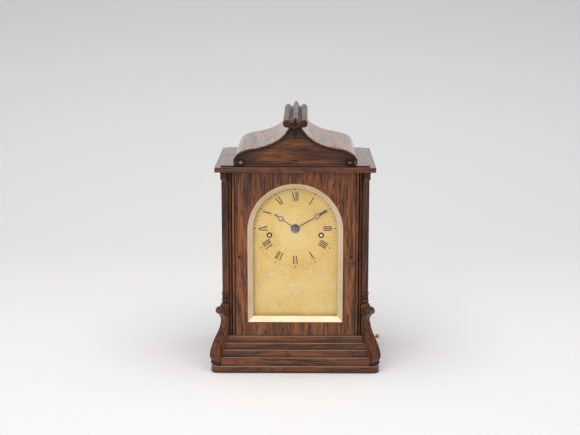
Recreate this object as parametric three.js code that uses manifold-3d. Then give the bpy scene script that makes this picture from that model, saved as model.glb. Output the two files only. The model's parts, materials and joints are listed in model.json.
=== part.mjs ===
// Bracket clock with a pagoda top: rosewood case, brass sight bezel, gilt dial and a two-train
// fusee movement.
// Millimetres. X runs to the viewer's right, Y from front to back, Z up.
// The origin is on the floor, under the centre of the cornice.
import * as THREE from 'three';
import { mergeVertices } from 'three/addons/utils/BufferGeometryUtils.js';
import Module from 'manifold-3d';

const wasm = await Module();
wasm.setup();

// ---------------------------------------------------------------- clearances
const glueLine = 0.1; // between boards that are glued or screwed together
const seatGap = 0.3; // round a piece that is dropped in, turned or carved to fit
const doorGap = 0.4; // round a door
const pivotGap = 0.25; // round an arbor in its hole
const mortise = 0.6; // between a door's pivot rod and the end of its hole

// ---------------------------------------------------------------- case
const caseHalfWidth = 80.7;
const caseHalfDepth = 67.8;
const caseHeight = 184.5;
const cornerCant = 7.2; // leg of the 45 degree cut on each front corner
const panelThickness = 8;
const slabHeight = 8;
const slabCornerRadius = 8;
const stepHeights = [9, 8, 7.3, 7.3]; // bottom to top
const stepInset = 2.6; // each step stands this far in from the one below
const topStepReach = 2.2; // the top step stands this far out of the case
const plinthBackReach = 2.1;

// ---------------------------------------------------------------- corner posts
const postDepth = 13.8;
const postReedWidth = 3.3;
const postGrooveWidth = 0.6; // between the reed and the cant
const postGrooveDepth = 1.6;
const capitalHeight = 12;
const capitalRise = 48.6; // its top above the bottom of the case
const capitalProud = 1.1;
const capitalLip = 1.2;
const corbelHeight = 11.5;
const corbelProud = 2.4;
const corbelLip = 1.4;
const carvingRoot = 1; // the carved blocks run into the post by this much

// ---------------------------------------------------------------- scroll brackets
const bracketExtraWidth = 2.4; // wider than the cant by this much
const bracketRollRadius = 4.1;
const bracketRollReach = 5.4; // roll centre out from the cant
const bracketRollHeight = 68; // above the floor
const bracketShoulderRise = 7.8; // its top edge above the roll's centre
const bracketToeRadius = 2.1; // of the small roll that its foot stands on
const bracketToeReach = 15.3;
// Outer curve of the bracket: distance out from the cant, height above the floor.
const bracketCurve = [
  [5.6, 63.4], [3.2, 60.6], [1.9, 56.6], [2.5, 51.8], [4.4, 47], [7.7, 41.8], [11.5, 36.4],
  [15, 30.6], [17.6, 25], [18.8, 19.8], [18.4, 15.8], [16.8, 12.9],
];

// ---------------------------------------------------------------- cornice and roof
const corniceOverhang = 6.4;
const corniceThickness = 5.5;
const platformInset = 6.2;
const platformHeight = 1.4;
const roofInset = 13.8; // widest point of the roof, in from the side of the case
const roofProud = 2.1; // its ends, out from the front and back of the case
const roofNeckHalfWidth = 7.3;
const roofHeight = 41.4;
const roofShoulderInset = 29.5; // from the widest point to where the round curve turns hollow
const roofShoulderHeight = 20.6;
const roofFootHeight = 3.6;
const roofFootInset = 0.6;
// Handles of the roof's two curves from the top down: [sideways, share of the fall].
const hollowHandles = [[4.7, 0.5], [13.4, 0.85]];
const roundHandles = [[12.7, 0.17], [0, 0.18]];
const roofShellThickness = 2.8;
const tympanumRecess = 2.1;
const tympanumThickness = 4;
const rosetteRadius = 2.5;
const rosetteInset = 8; // from the widest point of the roof
const rosetteHeight = 2.9;
const rosetteBoss = 1.2; // how far its middle stands out of the roof's front edge

// ---------------------------------------------------------------- ridge finial
const finialOverhang = 6.9; // past the roof's front and back ends
const finialRollRadius = 4.1;
const finialRollReach = 9.3;
const finialRollHeight = 4.8;
const finialCrestHalfWidth = 3.3;
const finialCrestHeight = 12.5;

// ---------------------------------------------------------------- front door and bezel
const doorThickness = 9;
const doorBeadRadius = 1.65;
const doorGrooveDepth = 1.2;
const doorGrooveWidth = 0.6;
const hingeRodRadius = 0.8;
const hingeRodReach = 3.2; // into the plinth and the cornice
const doorStile = 16.9; // from the door's edge to the arched opening
const doorBottomRail = 15;
const bezelWidth = 5.9;
const bezelDepth = 6;
const bezelSetBack = 0.4;
const bezelFlat = 0.5; // along the bezel's outer edge
const bezelRim = 0.8; // along its inner edge
const glassThickness = 1.6;
const glassLap = 1.4; // the pane is wider than the sight opening by this much
const keyholeRadius = 0.9;
const keyholeInset = 7.6; // from the door's edge
const keyholeDrop = 2.9; // below the door's middle
const lockWidth = 11;
const lockHeight = 17;
const lockThickness = 3.4;

// ---------------------------------------------------------------- dial and hands
const maskThickness = 2.4;
const maskSideShow = 2.9; // the mask closes the sight opening in by this much at the sides
const maskBottomShow = 2; // and at the bottom
const dialThickness = 1.8;
const dialLap = 2.5; // the dial is wider than the mask's opening by this much
const dialCentreDrop = 65.1; // below the top of the case
const dialCentreRise = 0.7; // above the springing of the arch
const dialFootRadius = 1.6;
const lowerFootReach = 45;
const lowerFootDrop = 59;
const upperFootReach = 15;
const upperFootRise = 38;
const windingReach = 28.5; // winding squares either side of the centre
const windingDrop = 7.6; // and below it
const windingHoleRadius = 3.1;
const handThickness = 0.4;
const minuteHandLength = 41;
const minuteHandRing = 28;
const hourHandLength = 28.8;
const hourHandRing = 19.6;
const handRingRadius = 3;
const handRingWidth = 0.8;
const handStemWidth = 0.9;
const handTipWidth = 0.3;
const handBossRadius = 5;
const bossStep = 1.2; // minute hand's boss smaller than the hour hand's
const pipeProud = 0.2; // pipe's end in front of its hand
const shownMinutes = 10;
const shownHours = 10;

// ---------------------------------------------------------------- back door
const backDoorThickness = 8;
const backDoorStile = 21.3;
const backDoorRail = 20;
const backGlassThickness = 1.8;
const backRodRadius = 1;
const backDoorCorner = 2.3;
const doorKnobRadius = 4;
const doorKnobLength = 9;
const doorKnobSpigot = 4.5;

// ---------------------------------------------------------------- movement frame
const plateThickness = 2.5;
const plateSpacing = 45;
const plateHalfWidth = 57;
const plateBottomDrop = 67; // below the dial's centre
const plateTopRise = 44; // and above it
const motionWorkDepth = 10.2; // from the back of the dial to the front plate
const pillarRadius = 3.2;
const pillarInset = 5.5;
const seatBoardThickness = 8;
const seatBoardFront = 5; // in front of the front plate
const seatBoardBack = 3; // behind the back plate

// ---------------------------------------------------------------- trains
const arborRadius = 1;
const thinArborRadius = 0.8; // of the escape wheel and the pallets
const wheelThickness = 1.5;
const greatWheelThickness = 1.8;
const escapeWheelThickness = 1.2;
const pinionLength = 4.2;
const greatWheelHub = 8;
const centreWheelHub = 4.5;
const thirdWheelHub = 4;
const wheelRim = 0.84; // inside of the rim as a share of the pitch radius
const spokeAngle = 14; // degrees that one crossing covers at the rim
const greatTeeth = 72;
const leaves = 6;
const centreTeeth = 72;
const centreModule = 0.5;
const thirdTeeth = 72;
const thirdModule = 0.42;
const escapeTeeth = 35;
const escapeRadius = 10.4;
const escapeRise = 24; // escape arbor above the centre arbor
const palletRise = 13.4; // pallet arbor above the escape arbor
const cannonTeeth = 12;
const minuteTeeth = 36;
const minuteLeaves = 10;
const hourTeeth = 40;
const motionDistance = 12; // centre arbor to minute wheel post
const motionWheelGap = 1.3;
const cannonPipeWall = 0.6;
const hourPipeWall = 0.7;
const hourHandGap = 0.5; // between the dial and the hour hand
const centreArborInset = 1.2; // end of the centre arbor inside the cannon pinion's pipe
const minutePostLength = 7.2;
const strikeTeeth = 60;
const strikeModule = 0.75;
const pinWheelRadius = 9;
const pinCircleRadius = 7.2;
const pinRadius = 0.6;
const pinLength = 2.4;
const pinCount = 8;
const strikeAngle = 135; // pin wheel arbor seen from the strike fusee, degrees from +X
const fuseeBigRadius = 15.4;
const fuseeSmallRadius = 8;
const fuseeLength = 25;
const fuseeArborRadius = 2.4;
const windingSquare = 2.8;
const windingSquareProud = 0.5; // in front of the dial
const barrelArborRadius = 2;
const barrelBehindPlate = 4;
const barrelRadius = 18.4;
const barrelLength = 30;
const barrelReach = 31;
const barrelDrop = 46.4; // below the dial's centre
const barrelCapThickness = 1.2;
const barrelCapProud = 0.9;
const fuseeFlange = 1.4;
const fuseeCap = 1.2;
const fuseeTurns = 5; // drawn coarser than the real groove

// ---------------------------------------------------------------- escapement and pendulum
const bobRise = 30.2; // centre of the bob above the floor of the case
const bobRadius = 14;
const bobThickness = 7;
const ratingNutRadius = 2;
const ratingNutLength = 3.4;
const pendulumRodRadius = 0.9;
const suspensionRise = 2.4; // above the pallet arbor
const suspensionLength = 11;
const suspensionWidth = 3.2;
const suspensionThickness = 0.5;
const palletReach = 9; // each side of the escape arbor
const palletClearance = 1; // beyond the escape wheel's teeth
const anchorThickness = 2;
const crutchLength = 31;
const crutchWidth = 2;
const crutchThickness = 1.2;
const forkWall = 0.9;
const cockWidth = 26;
const cockLegWidth = 3;
const cockThickness = 2;
const cockStandOff = 6.5; // front of the cock's bridge, behind the back plate
const cockDrop = 4; // its foot below the pallet arbor
const pendulumStandOff = 3; // behind the cock
const studWidth = 5;
const studHeight = 3;

// ---------------------------------------------------------------- bell and hammer
const bellRadius = 23;
const bellHeight = 17;
const bellWall = 1.6;
const bellReach = 27;
const bellBehindPlate = 4;
const bellAbovePlate = 0.6;
const bellStandRadius = 2;
const bellCollarRadius = 3.4;
const bellCollarHeight = 3;
const bellNutRadius = 3.8;
const bellNutHeight = 1.9;
const standWidth = 6;
const standFootHeight = 11;
const standFootThickness = 2.1;
const standDrop = 3; // top of the stand's foot below the top of the plate
const standArmHeight = 2.5;
const hammerReach = 50;
const hammerRise = 27; // above the dial's centre
const hammerHeadRadius = 3;
const hammerHeadLength = 5;
const hammerGap = 0.8; // between its head and the bell
const hammerArmWidth = 2.2;
const hammerArmThickness = 1.6;
const hammerTailGap = 0.7; // between its tail and the pins

// ---------------------------------------------------------------- repeat pull
const repeatKnobRadius = 2.7;
const repeatKnobLength = 5.4;
const repeatNeck = 4.3; // bare rod between the plinth and the knob
const repeatRodRadius = 1.1;
const repeatRodLength = 34; // inside the plinth
const repeatSetBack = -7.3;
const repeatAboveFloor = 21.2;

// ---------------------------------------------------------------- levels worked out from the sizes
const caseBottom = slabHeight + stepHeights.reduce((sum, height) => sum + height, 0);
const caseTop = caseBottom + caseHeight;
const corniceTop = caseTop + corniceThickness;
const platformTop = corniceTop + platformHeight;
const roofBottom = platformTop + glueLine;
const roofTop = roofBottom + roofHeight;
const finialBottom = roofTop + glueLine;
const roofHalfWidth = caseHalfWidth - roofInset;
const roofHalfLength = caseHalfDepth + roofProud;
const doorBottom = caseBottom + doorGap;
const doorTop = caseTop - doorGap;
const postInner = caseHalfWidth - cornerCant - postGrooveWidth - postReedWidth;
const doorHalfWidth = postInner - seatGap;
const doorFront = -caseHalfDepth;
const doorBack = doorFront + doorThickness;
const dialCentreAboveFloor = caseTop - dialCentreDrop;
const sightHalfWidth = doorHalfWidth - doorStile;
const sightBottom = doorBottom + doorBottomRail;
const sightSpring = dialCentreAboveFloor - dialCentreRise;
const maskHalfOpening = sightHalfWidth - maskSideShow;
const maskBottom = sightBottom + maskBottomShow;
const plateBottom = dialCentreAboveFloor - plateBottomDrop;
const plateTop = dialCentreAboveFloor + plateTopRise;
const bezelBack = doorFront + bezelSetBack + bezelDepth;
const glassFront = bezelBack + glueLine;
const maskFront = doorBack + seatGap;
const maskBack = maskFront + maskThickness;
const dialFront = maskBack + glueLine;
const dialBack = dialFront + dialThickness;
const frontPlateFront = dialBack + motionWorkDepth;
const frontPlateBack = frontPlateFront + plateThickness;
const backPlateFront = frontPlateBack + plateSpacing;
const backPlateBack = backPlateFront + plateThickness;
const cantCentre = [caseHalfWidth - cornerCant / 2, -caseHalfDepth + cornerCant / 2];
const hingeAxis = [-(doorHalfWidth - doorBeadRadius), doorFront + doorBeadRadius];
const backDoorHalfWidth = caseHalfWidth - panelThickness - doorGap;
const backSightHalfWidth = backDoorHalfWidth - backDoorStile;
const backHingeAxis = [backDoorHalfWidth - backDoorCorner, caseHalfDepth - backDoorCorner];

// Arbors, as X and Z.
const centre = [0, dialCentreAboveFloor];
const goingFusee = [windingReach, dialCentreAboveFloor - windingDrop];
const strikeFusee = [-windingReach, dialCentreAboveFloor - windingDrop];
const escapeArbor = [0, dialCentreAboveFloor + escapeRise];
const palletArbor = [0, escapeArbor[1] + palletRise];
const minutePost = [0, dialCentreAboveFloor - motionDistance];
const thirdArbor = meetingPoint(
  centre, (centreTeeth + leaves) * centreModule / 2,
  escapeArbor, (thirdTeeth + leaves) * thirdModule / 2,
);
const strikeDistance = (strikeTeeth + leaves) * strikeModule / 2;
const pinWheelArbor = polar(strikeFusee, strikeDistance, THREE.MathUtils.degToRad(strikeAngle));
const hammerArbor = [-hammerReach, dialCentreAboveFloor + hammerRise];
const barrelArbors = [-barrelReach, barrelReach].map((x) => [x, dialCentreAboveFloor - barrelDrop]);

// ---------------------------------------------------------------- finishes
const finishes = {
  rosewood: { color: 0x5a2f1c, roughness: 0.3, metalness: 0 },
  darkRosewood: { color: 0x3a2016, roughness: 0.35, metalness: 0 },
  mahogany: { color: 0x6b3a20, roughness: 0.5, metalness: 0 },
  brass: { color: 0xc9a24e, roughness: 0.3, metalness: 1 },
  gilt: { color: 0xe6c47c, roughness: 0.45, metalness: 0.8 },
  steel: { color: 0x9a9ca0, roughness: 0.35, metalness: 1 },
  bluedSteel: { color: 0x2b2f5a, roughness: 0.3, metalness: 1 },
  bellMetal: { color: 0xb9a878, roughness: 0.3, metalness: 1 },
  glass: { color: 0xf4f8f6, roughness: 0.05, metalness: 0 },
};

const clock = new THREE.Group();

function add(name, geometry, finish, position = [0, 0, 0]) {
  const mesh = new THREE.Mesh(geometry, new THREE.MeshStandardMaterial(finishes[finish]));
  mesh.name = name;
  mesh.position.set(...position);
  clock.add(mesh);
  return mesh;
}

// ---------------------------------------------------------------- points
function polar([x, y], radius, angle) {
  return [x + radius * Math.cos(angle), y + radius * Math.sin(angle)];
}

// The point at two given distances from two points, on the left of the line between them.
function meetingPoint([ax, ay], fromA, [bx, by], fromB) {
  const apart = Math.hypot(bx - ax, by - ay);
  const along = (fromA ** 2 - fromB ** 2 + apart ** 2) / (2 * apart);
  const aside = Math.sqrt(fromA ** 2 - along ** 2);
  const [ux, uy] = [(bx - ax) / apart, (by - ay) / apart];
  return [ax + along * ux - aside * uy, ay + along * uy + aside * ux];
}

function arc(cx, cy, radius, from, to, steps) {
  return Array.from({ length: steps + 1 }, (_, i) => {
    const angle = THREE.MathUtils.degToRad(from + (to - from) * i / steps);
    return polar([cx, cy], radius, angle);
  });
}

function circle([cx, cy], radius, sides) {
  return arc(cx, cy, radius, 0, 360, sides).slice(0, -1);
}

// A round hole's outline, drawn large enough for its flats to clear the radius.
function hole(at, radius, sides = 10) {
  return circle(at, radius / Math.cos(Math.PI / sides), sides);
}

function mirrored(points) {
  return points.map(([x, y]) => [-x, y]).reverse();
}

// Outline of an arched opening: a straight-sided foot and a round head.
function archOutline(halfWidth, bottom, spring, steps = 24) {
  return [[-halfWidth, bottom], [halfWidth, bottom], ...arc(0, spring, halfWidth, 0, 180, steps)];
}

// ---------------------------------------------------------------- solids
function outlineShape(points, holes = []) {
  const shape = new THREE.Shape(points.map(([x, y]) => new THREE.Vector2(x, y)));
  shape.holes = holes.map((hole) => new THREE.Path(hole.map(([x, y]) => new THREE.Vector2(x, y))));
  return shape;
}

// A board whose outline is given in plan (X, Y), between two heights.
function planBoard(points, bottom, top, holes = []) {
  const options = { depth: top - bottom, bevelEnabled: false };
  return new THREE.ExtrudeGeometry(outlineShape(points, holes), options).translate(0, 0, bottom);
}

// A plate whose outline is given in elevation (X, Z), between a front and a back plane.
function frontPlate(points, front, back, holes = []) {
  const options = { depth: back - front, bevelEnabled: false };
  const geometry = new THREE.ExtrudeGeometry(outlineShape(points, holes), options);
  return geometry.rotateX(Math.PI / 2).translate(0, back, 0);
}

function rod([x, z], radius, front, back, sides = 8) {
  return frontPlate(circle([x, z], radius, sides), front, back);
}

function post([x, y], radius, bottom, top, sides = 10) {
  return planBoard(circle([x, y], radius, sides), bottom, top);
}

// The tools that cut a round hole: one along Y, one along Z.
function borer(at, radius, front, back, sides = 10) {
  return frontPlate(hole(at, radius, sides), front, back);
}

function drill(at, radius, bottom, top, sides = 10) {
  return planBoard(hole(at, radius, sides), bottom, top);
}

function box([x0, x1], [y0, y1], [z0, z1]) {
  return planBoard([[x0, y0], [x1, y0], [x1, y1], [x0, y1]], z0, z1);
}

// A turned piece with its axis along Z; the profile is [radius, height] from the axis and back to it.
function turned(profile, sides = 16) {
  const points = profile.map(([r, z]) => new THREE.Vector2(r, z));
  return new THREE.LatheGeometry(points, sides).rotateX(Math.PI / 2);
}

function toSolid(geometry) {
  const bare = geometry.clone();
  bare.deleteAttribute('normal');
  bare.deleteAttribute('uv');
  const merged = mergeVertices(bare, 1e-4);
  return new wasm.Manifold(new wasm.Mesh({
    numProp: 3,
    vertProperties: new Float32Array(merged.attributes.position.array),
    triVerts: new Uint32Array(merged.index.array),
  }));
}

function toGeometry(solid) {
  const mesh = solid.getMesh();
  const geometry = new THREE.BufferGeometry();
  geometry.setAttribute('position', new THREE.BufferAttribute(mesh.vertProperties, 3));
  geometry.setIndex(new THREE.BufferAttribute(mesh.triVerts, 1));
  geometry.computeVertexNormals();
  return geometry;
}

function joined(...geometries) {
  return toGeometry(geometries.map(toSolid).reduce((whole, piece) => whole.add(piece)));
}

function cut(geometry, ...tools) {
  return toGeometry(tools.map(toSolid).reduce((whole, tool) => whole.subtract(tool), toSolid(geometry)));
}

// ---------------------------------------------------------------- plinth
// Each plinth board reaches out of the case by its own amount, with the same cant on both front corners.
function steppedOutline(reach) {
  const side = caseHalfWidth + reach;
  const front = -caseHalfDepth - reach;
  const back = caseHalfDepth + plinthBackReach;
  return [
    [-side + cornerCant, front], [side - cornerCant, front], [side, front + cornerCant],
    [side, back], [-side, back], [-side, front + cornerCant],
  ];
}

function slabOutline(reach) {
  const side = caseHalfWidth + reach;
  const front = -caseHalfDepth - reach;
  const back = caseHalfDepth + plinthBackReach;
  const radius = slabCornerRadius;
  return [
    ...arc(-side + radius, front + radius, radius, 180, 270, 6),
    ...arc(side - radius, front + radius, radius, 270, 360, 6),
    [side, back], [-side, back],
  ];
}

const stepReaches = stepHeights.map((_, i) => topStepReach + stepInset * (stepHeights.length - 1 - i));
const slabReach = stepReaches[0] + stepInset;
const repeatBoardSide = caseHalfWidth + stepReaches[1];

function addPlinth() {
  add('base_board', planBoard(slabOutline(slabReach), 0, slabHeight), 'rosewood');
  const holeBottom = caseBottom - hingeRodReach - mortise;
  const hingeHole = drill(hingeAxis, hingeRodRadius + pivotGap, holeBottom, caseBottom + 1);
  const backHole = drill(backHingeAxis, backRodRadius + pivotGap, holeBottom, caseBottom + 1);
  const repeatHole = new THREE.CylinderGeometry(
    repeatRodRadius + pivotGap, repeatRodRadius + pivotGap, repeatRodLength + 2, 10,
  ).rotateZ(Math.PI / 2).translate(
    repeatBoardSide - repeatRodLength / 2, repeatSetBack, repeatAboveFloor,
  );
  let bottom = slabHeight + glueLine;
  stepHeights.forEach((height, i) => {
    const top = bottom + height - glueLine;
    const board = planBoard(steppedOutline(stepReaches[i]), bottom, top);
    const last = i === stepHeights.length - 1;
    const holes = last ? [hingeHole, backHole] : i === 1 ? [repeatHole] : [];
    add(`plinth_step_${i + 1}`, holes.length ? cut(board, ...holes) : board, 'rosewood');
    bottom = top + glueLine;
  });
}

// ---------------------------------------------------------------- carcass
function postOutline() {
  const front = -caseHalfDepth;
  const cantStart = caseHalfWidth - cornerCant;
  const reedCentre = postInner + postReedWidth / 2;
  const back = front + postDepth;
  return [
    ...arc(reedCentre, front + postReedWidth / 2, postReedWidth / 2, 180, 360, 6),
    [cantStart - postGrooveWidth / 2, front + postGrooveDepth],
    [cantStart, front], [caseHalfWidth, front + cornerCant],
    [caseHalfWidth, back], [postInner, back],
  ];
}

// A small block on the cant, carved to a curve: the profile is [out from the cant, height above the floor].
function cantBlock(profile, width) {
  return frontPlate(profile, -width / 2, width / 2);
}

function onCant(geometry, side) {
  const turn = side > 0 ? -Math.PI / 4 : -Math.PI * 3 / 4;
  return geometry.rotateZ(turn).translate(side * cantCentre[0], cantCentre[1], 0);
}

function cantWidth() {
  return cornerCant * Math.SQRT2;
}

function addCornerPosts() {
  const bottom = caseBottom + glueLine;
  const top = caseTop - glueLine;
  const capitalTop = caseBottom + capitalRise;
  const capitalFoot = capitalTop - capitalHeight;
  const corbelTop = top - glueLine;
  const corbelFoot = corbelTop - corbelHeight;
  // Both profiles are [out from the cant, height]: a torus, a hollow and a square lip.
  const capital = [
    [-carvingRoot, capitalFoot], [capitalProud * 0.3, capitalFoot],
    [capitalProud, capitalFoot + capitalHeight * 0.2],
    [capitalProud * 0.3, capitalFoot + capitalHeight * 0.4],
    [capitalProud * 0.3, capitalTop - capitalLip * 1.7],
    [capitalProud, capitalTop - capitalLip], [capitalProud, capitalTop], [-carvingRoot, capitalTop],
  ];
  const corbel = [
    [-carvingRoot, corbelFoot], [corbelProud * 0.12, corbelFoot],
    [corbelProud, corbelFoot + corbelHeight * 0.3],
    [corbelProud * 0.6, corbelTop - corbelHeight * 0.35], [corbelProud, corbelTop - corbelLip],
    [corbelProud, corbelTop], [-carvingRoot, corbelTop],
  ];
  for (const [side, name] of [[-1, 'left'], [1, 'right']]) {
    const outline = side > 0 ? postOutline() : mirrored(postOutline());
    const carved = joined(
      planBoard(outline, bottom, top),
      onCant(cantBlock(capital, cantWidth()), side),
      onCant(cantBlock(corbel, cantWidth() * 0.9), side),
    );
    add(`${name}_corner_post`, carved, 'rosewood');
  }
}

function addSidePanels() {
  const front = -caseHalfDepth + postDepth + glueLine;
  for (const [side, name] of [[-1, 'left'], [1, 'right']]) {
    const reach = [side * caseHalfWidth, side * (caseHalfWidth - panelThickness)].sort((a, b) => a - b);
    const height = [caseBottom + glueLine, caseTop - glueLine];
    add(`${name}_side_panel`, box(reach, [front, caseHalfDepth], height), 'rosewood');
  }
}

// ---------------------------------------------------------------- scroll brackets
// The back of a bracket is notched to sit on the case's cant and on every step's cant below it.
function bracketOutline() {
  const seats = stepReaches.map((reach) => reach * Math.SQRT2 + seatGap);
  const sum = (heights) => heights.reduce((a, b) => a + b, slabHeight);
  const tops = stepHeights.map((_, i) => sum(stepHeights.slice(0, i + 1)));
  const notches = [];
  for (let i = seats.length - 1; i >= 0; i -= 1) {
    const inner = i === seats.length - 1 ? seatGap : seats[i + 1];
    notches.push([inner, tops[i] + seatGap], [seats[i], tops[i] + seatGap]);
  }
  const shoulder = bracketRollHeight + bracketShoulderRise;
  const curve = new THREE.SplineCurve(bracketCurve.map(([x, y]) => new THREE.Vector2(x, y)));
  return [
    [seatGap, shoulder], [bracketRollReach * 0.12, shoulder],
    [bracketRollReach * 0.3, shoulder - bracketShoulderRise * 0.3],
    ...arc(bracketRollReach, bracketRollHeight, bracketRollRadius, 115, -60, 12),
    ...curve.getPoints(22).map(({ x, y }) => [x, y]),
    ...arc(bracketToeReach, slabHeight + seatGap + bracketToeRadius, bracketToeRadius, 45, -90, 6),
    [seats[0], slabHeight + seatGap],
    ...notches.reverse(),
  ];
}

function addScrollBrackets() {
  const outline = bracketOutline();
  const width = cantWidth() + bracketExtraWidth;
  for (const [side, name] of [[-1, 'left'], [1, 'right']]) {
    add(`${name}_scroll_bracket`, onCant(cantBlock(outline, width), side), 'rosewood');
  }
}

// ---------------------------------------------------------------- cornice and roof
function rectangle(halfWidth, halfDepth) {
  return [
    [-halfWidth, -halfDepth], [halfWidth, -halfDepth], [halfWidth, halfDepth], [-halfWidth, halfDepth],
  ];
}

function addCornice() {
  const halfWidth = caseHalfWidth + corniceOverhang;
  const halfDepth = caseHalfDepth + corniceOverhang;
  const rodTop = caseTop + hingeRodReach + mortise;
  const slab = cut(
    planBoard(rectangle(halfWidth, halfDepth), caseTop, corniceTop - glueLine),
    drill(hingeAxis, hingeRodRadius + pivotGap, caseTop - 1, rodTop),
    drill(backHingeAxis, backRodRadius + pivotGap, caseTop - 1, rodTop),
  );
  add('cornice_board', slab, 'rosewood');
  const platform = rectangle(halfWidth - platformInset, halfDepth - platformInset);
  add('roof_platform', planBoard(platform, corniceTop, platformTop), 'rosewood');
}

// The ogee of the roof's right half, from the neck down to the foot.
function roofCurve() {
  const neck = new THREE.Vector2(roofNeckHalfWidth, roofTop);
  const shoulder = new THREE.Vector2(roofHalfWidth - roofShoulderInset, roofBottom + roofShoulderHeight);
  const foot = new THREE.Vector2(roofHalfWidth, roofBottom + roofFootHeight);
  const curve = (top, bottom, [[outTop, fallTop], [outBottom, fallBottom]]) => {
    const fall = top.y - bottom.y;
    return new THREE.CubicBezierCurve(
      top, new THREE.Vector2(top.x + outTop, top.y - fall * fallTop),
      new THREE.Vector2(bottom.x - outBottom, top.y - fall * fallBottom), bottom,
    );
  };
  const hollow = curve(neck, shoulder, hollowHandles).getPoints(8);
  const round = curve(shoulder, foot, roundHandles).getPoints(9).slice(1);
  return [...hollow, ...round].map(({ x, y }) => [x, y]);
}

// The same curve moved inwards, square to itself.
function movedInwards(points, distance) {
  return points.map(([x, y], i) => {
    const [ax, ay] = points[Math.max(i - 1, 0)];
    const [bx, by] = points[Math.min(i + 1, points.length - 1)];
    const length = Math.hypot(bx - ax, by - ay);
    return [x + (by - ay) / length * distance, y - (bx - ax) / length * distance];
  });
}

function addRoof() {
  const outer = roofCurve();
  const foot = roofHalfWidth - roofFootInset;
  const inner = movedInwards(outer, roofShellThickness);
  inner[0][1] = roofTop;
  const shell = [...outer, [foot, roofBottom], [foot - roofShellThickness, roofBottom], ...inner.reverse()];
  add('right_roof_shell', frontPlate(shell, -roofHalfLength, roofHalfLength), 'rosewood');
  add('left_roof_shell', frontPlate(mirrored(shell), -roofHalfLength, roofHalfLength), 'rosewood');

  const edge = movedInwards(outer, roofShellThickness + seatGap);
  edge[0][1] = roofTop - seatGap;
  const half = [...edge, [foot - roofShellThickness - seatGap, roofBottom]];
  const panel = [...half, ...mirrored(half)];
  const front = -roofHalfLength + tympanumRecess;
  add('front_tympanum', frontPlate(panel, front, front + tympanumThickness), 'rosewood');
  add('rear_tympanum', frontPlate(panel, -front - tympanumThickness, -front), 'rosewood');

  for (const [side, name] of [[-1, 'left'], [1, 'right']]) {
    const button = turned([
      [0, 0], [rosetteRadius, 0], [rosetteRadius, tympanumRecess * 0.6],
      [rosetteRadius * 0.6, tympanumRecess * 0.6],
      [rosetteRadius * 0.75, tympanumRecess], [rosetteRadius * 0.4, tympanumRecess + rosetteBoss * 0.8],
      [0, tympanumRecess + rosetteBoss],
    ], 12).rotateX(Math.PI / 2);
    const position = [side * (roofHalfWidth - rosetteInset), front - glueLine, roofBottom + rosetteHeight];
    add(`${name}_rosette`, button, 'rosewood', position);
  }
}

// ---------------------------------------------------------------- ridge finial
function addFinial() {
  const rollZ = finialBottom + finialRollHeight;
  const base = finialRollReach - finialRollRadius * 0.5;
  const crestFoot = rollZ + finialRollRadius * 0.35;
  const half = [
    [base, finialBottom],
    ...arc(finialRollReach, rollZ, finialRollRadius, -105, 150, 12),
    [finialCrestHalfWidth + 0.5, crestFoot], [finialCrestHalfWidth, crestFoot + 2.2],
    [finialCrestHalfWidth * 0.72, finialBottom + finialCrestHeight - 2.3],
    [0, finialBottom + finialCrestHeight],
  ];
  const outline = [...half, ...mirrored(half).slice(1)];
  const halfLength = roofHalfLength + finialOverhang;
  add('ridge_finial', frontPlate(outline, -halfLength, halfLength), 'rosewood');
}

// ---------------------------------------------------------------- front door
function doorPlan() {
  const bead = doorBeadRadius;
  const beadInner = doorHalfWidth - 2 * bead;
  const half = [
    [beadInner - doorGrooveWidth, doorFront], [beadInner - doorGrooveWidth / 2, doorFront + doorGrooveDepth],
    ...arc(doorHalfWidth - bead, doorFront + bead, bead, 200, 360, 7),
    [doorHalfWidth, doorBack],
  ];
  return [...half, ...mirrored(half)];
}

function addFrontDoor() {
  const opening = archOutline(sightHalfWidth, sightBottom, sightSpring);
  const paneHalfWidth = sightHalfWidth + glassLap;
  const rebate = archOutline(paneHalfWidth + seatGap, sightBottom - glassLap - seatGap, sightSpring);
  const keyhole = [doorHalfWidth - keyholeInset, (doorBottom + doorTop) / 2 - keyholeDrop];
  const [keyholeX, lockZ] = keyhole;
  const lockX = [keyholeX - lockWidth / 2, keyholeX + lockWidth / 2];
  const lockZs = [lockZ - lockHeight / 2, lockZ + lockHeight / 2];
  const lockRecess = box(
    [lockX[0] - seatGap, lockX[1] + seatGap],
    [doorBack - lockThickness - seatGap, doorBack + 1],
    [lockZs[0] - seatGap, lockZs[1] + seatGap],
  );
  const door = cut(
    planBoard(doorPlan(), doorBottom, doorTop),
    frontPlate(opening, doorFront - 1, doorBack + 1),
    frontPlate(rebate, bezelBack, doorBack + 1),
    drill(hingeAxis, hingeRodRadius + pivotGap, doorBottom - 1, doorTop + 1),
    borer(keyhole, keyholeRadius, doorFront - 1, doorBack),
    lockRecess,
  );
  add('front_door', door, 'rosewood');

  const rodEnds = [caseBottom - hingeRodReach, caseTop + hingeRodReach];
  add('front_hinge_rod', post(hingeAxis, hingeRodRadius, ...rodEnds), 'brass');
  add('sight_bezel', bezel(), 'brass');
  const pane = archOutline(paneHalfWidth, sightBottom - glassLap, sightSpring);
  add('door_glass', frontPlate(pane, glassFront, glassFront + glassThickness), 'glass');

  const lock = cut(
    box(lockX, [doorBack - lockThickness, doorBack], lockZs),
    borer(keyhole, keyholeRadius, doorBack - lockThickness - 1, doorBack - lockThickness / 2),
  );
  add('door_lock', lock, 'brass');
}

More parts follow.
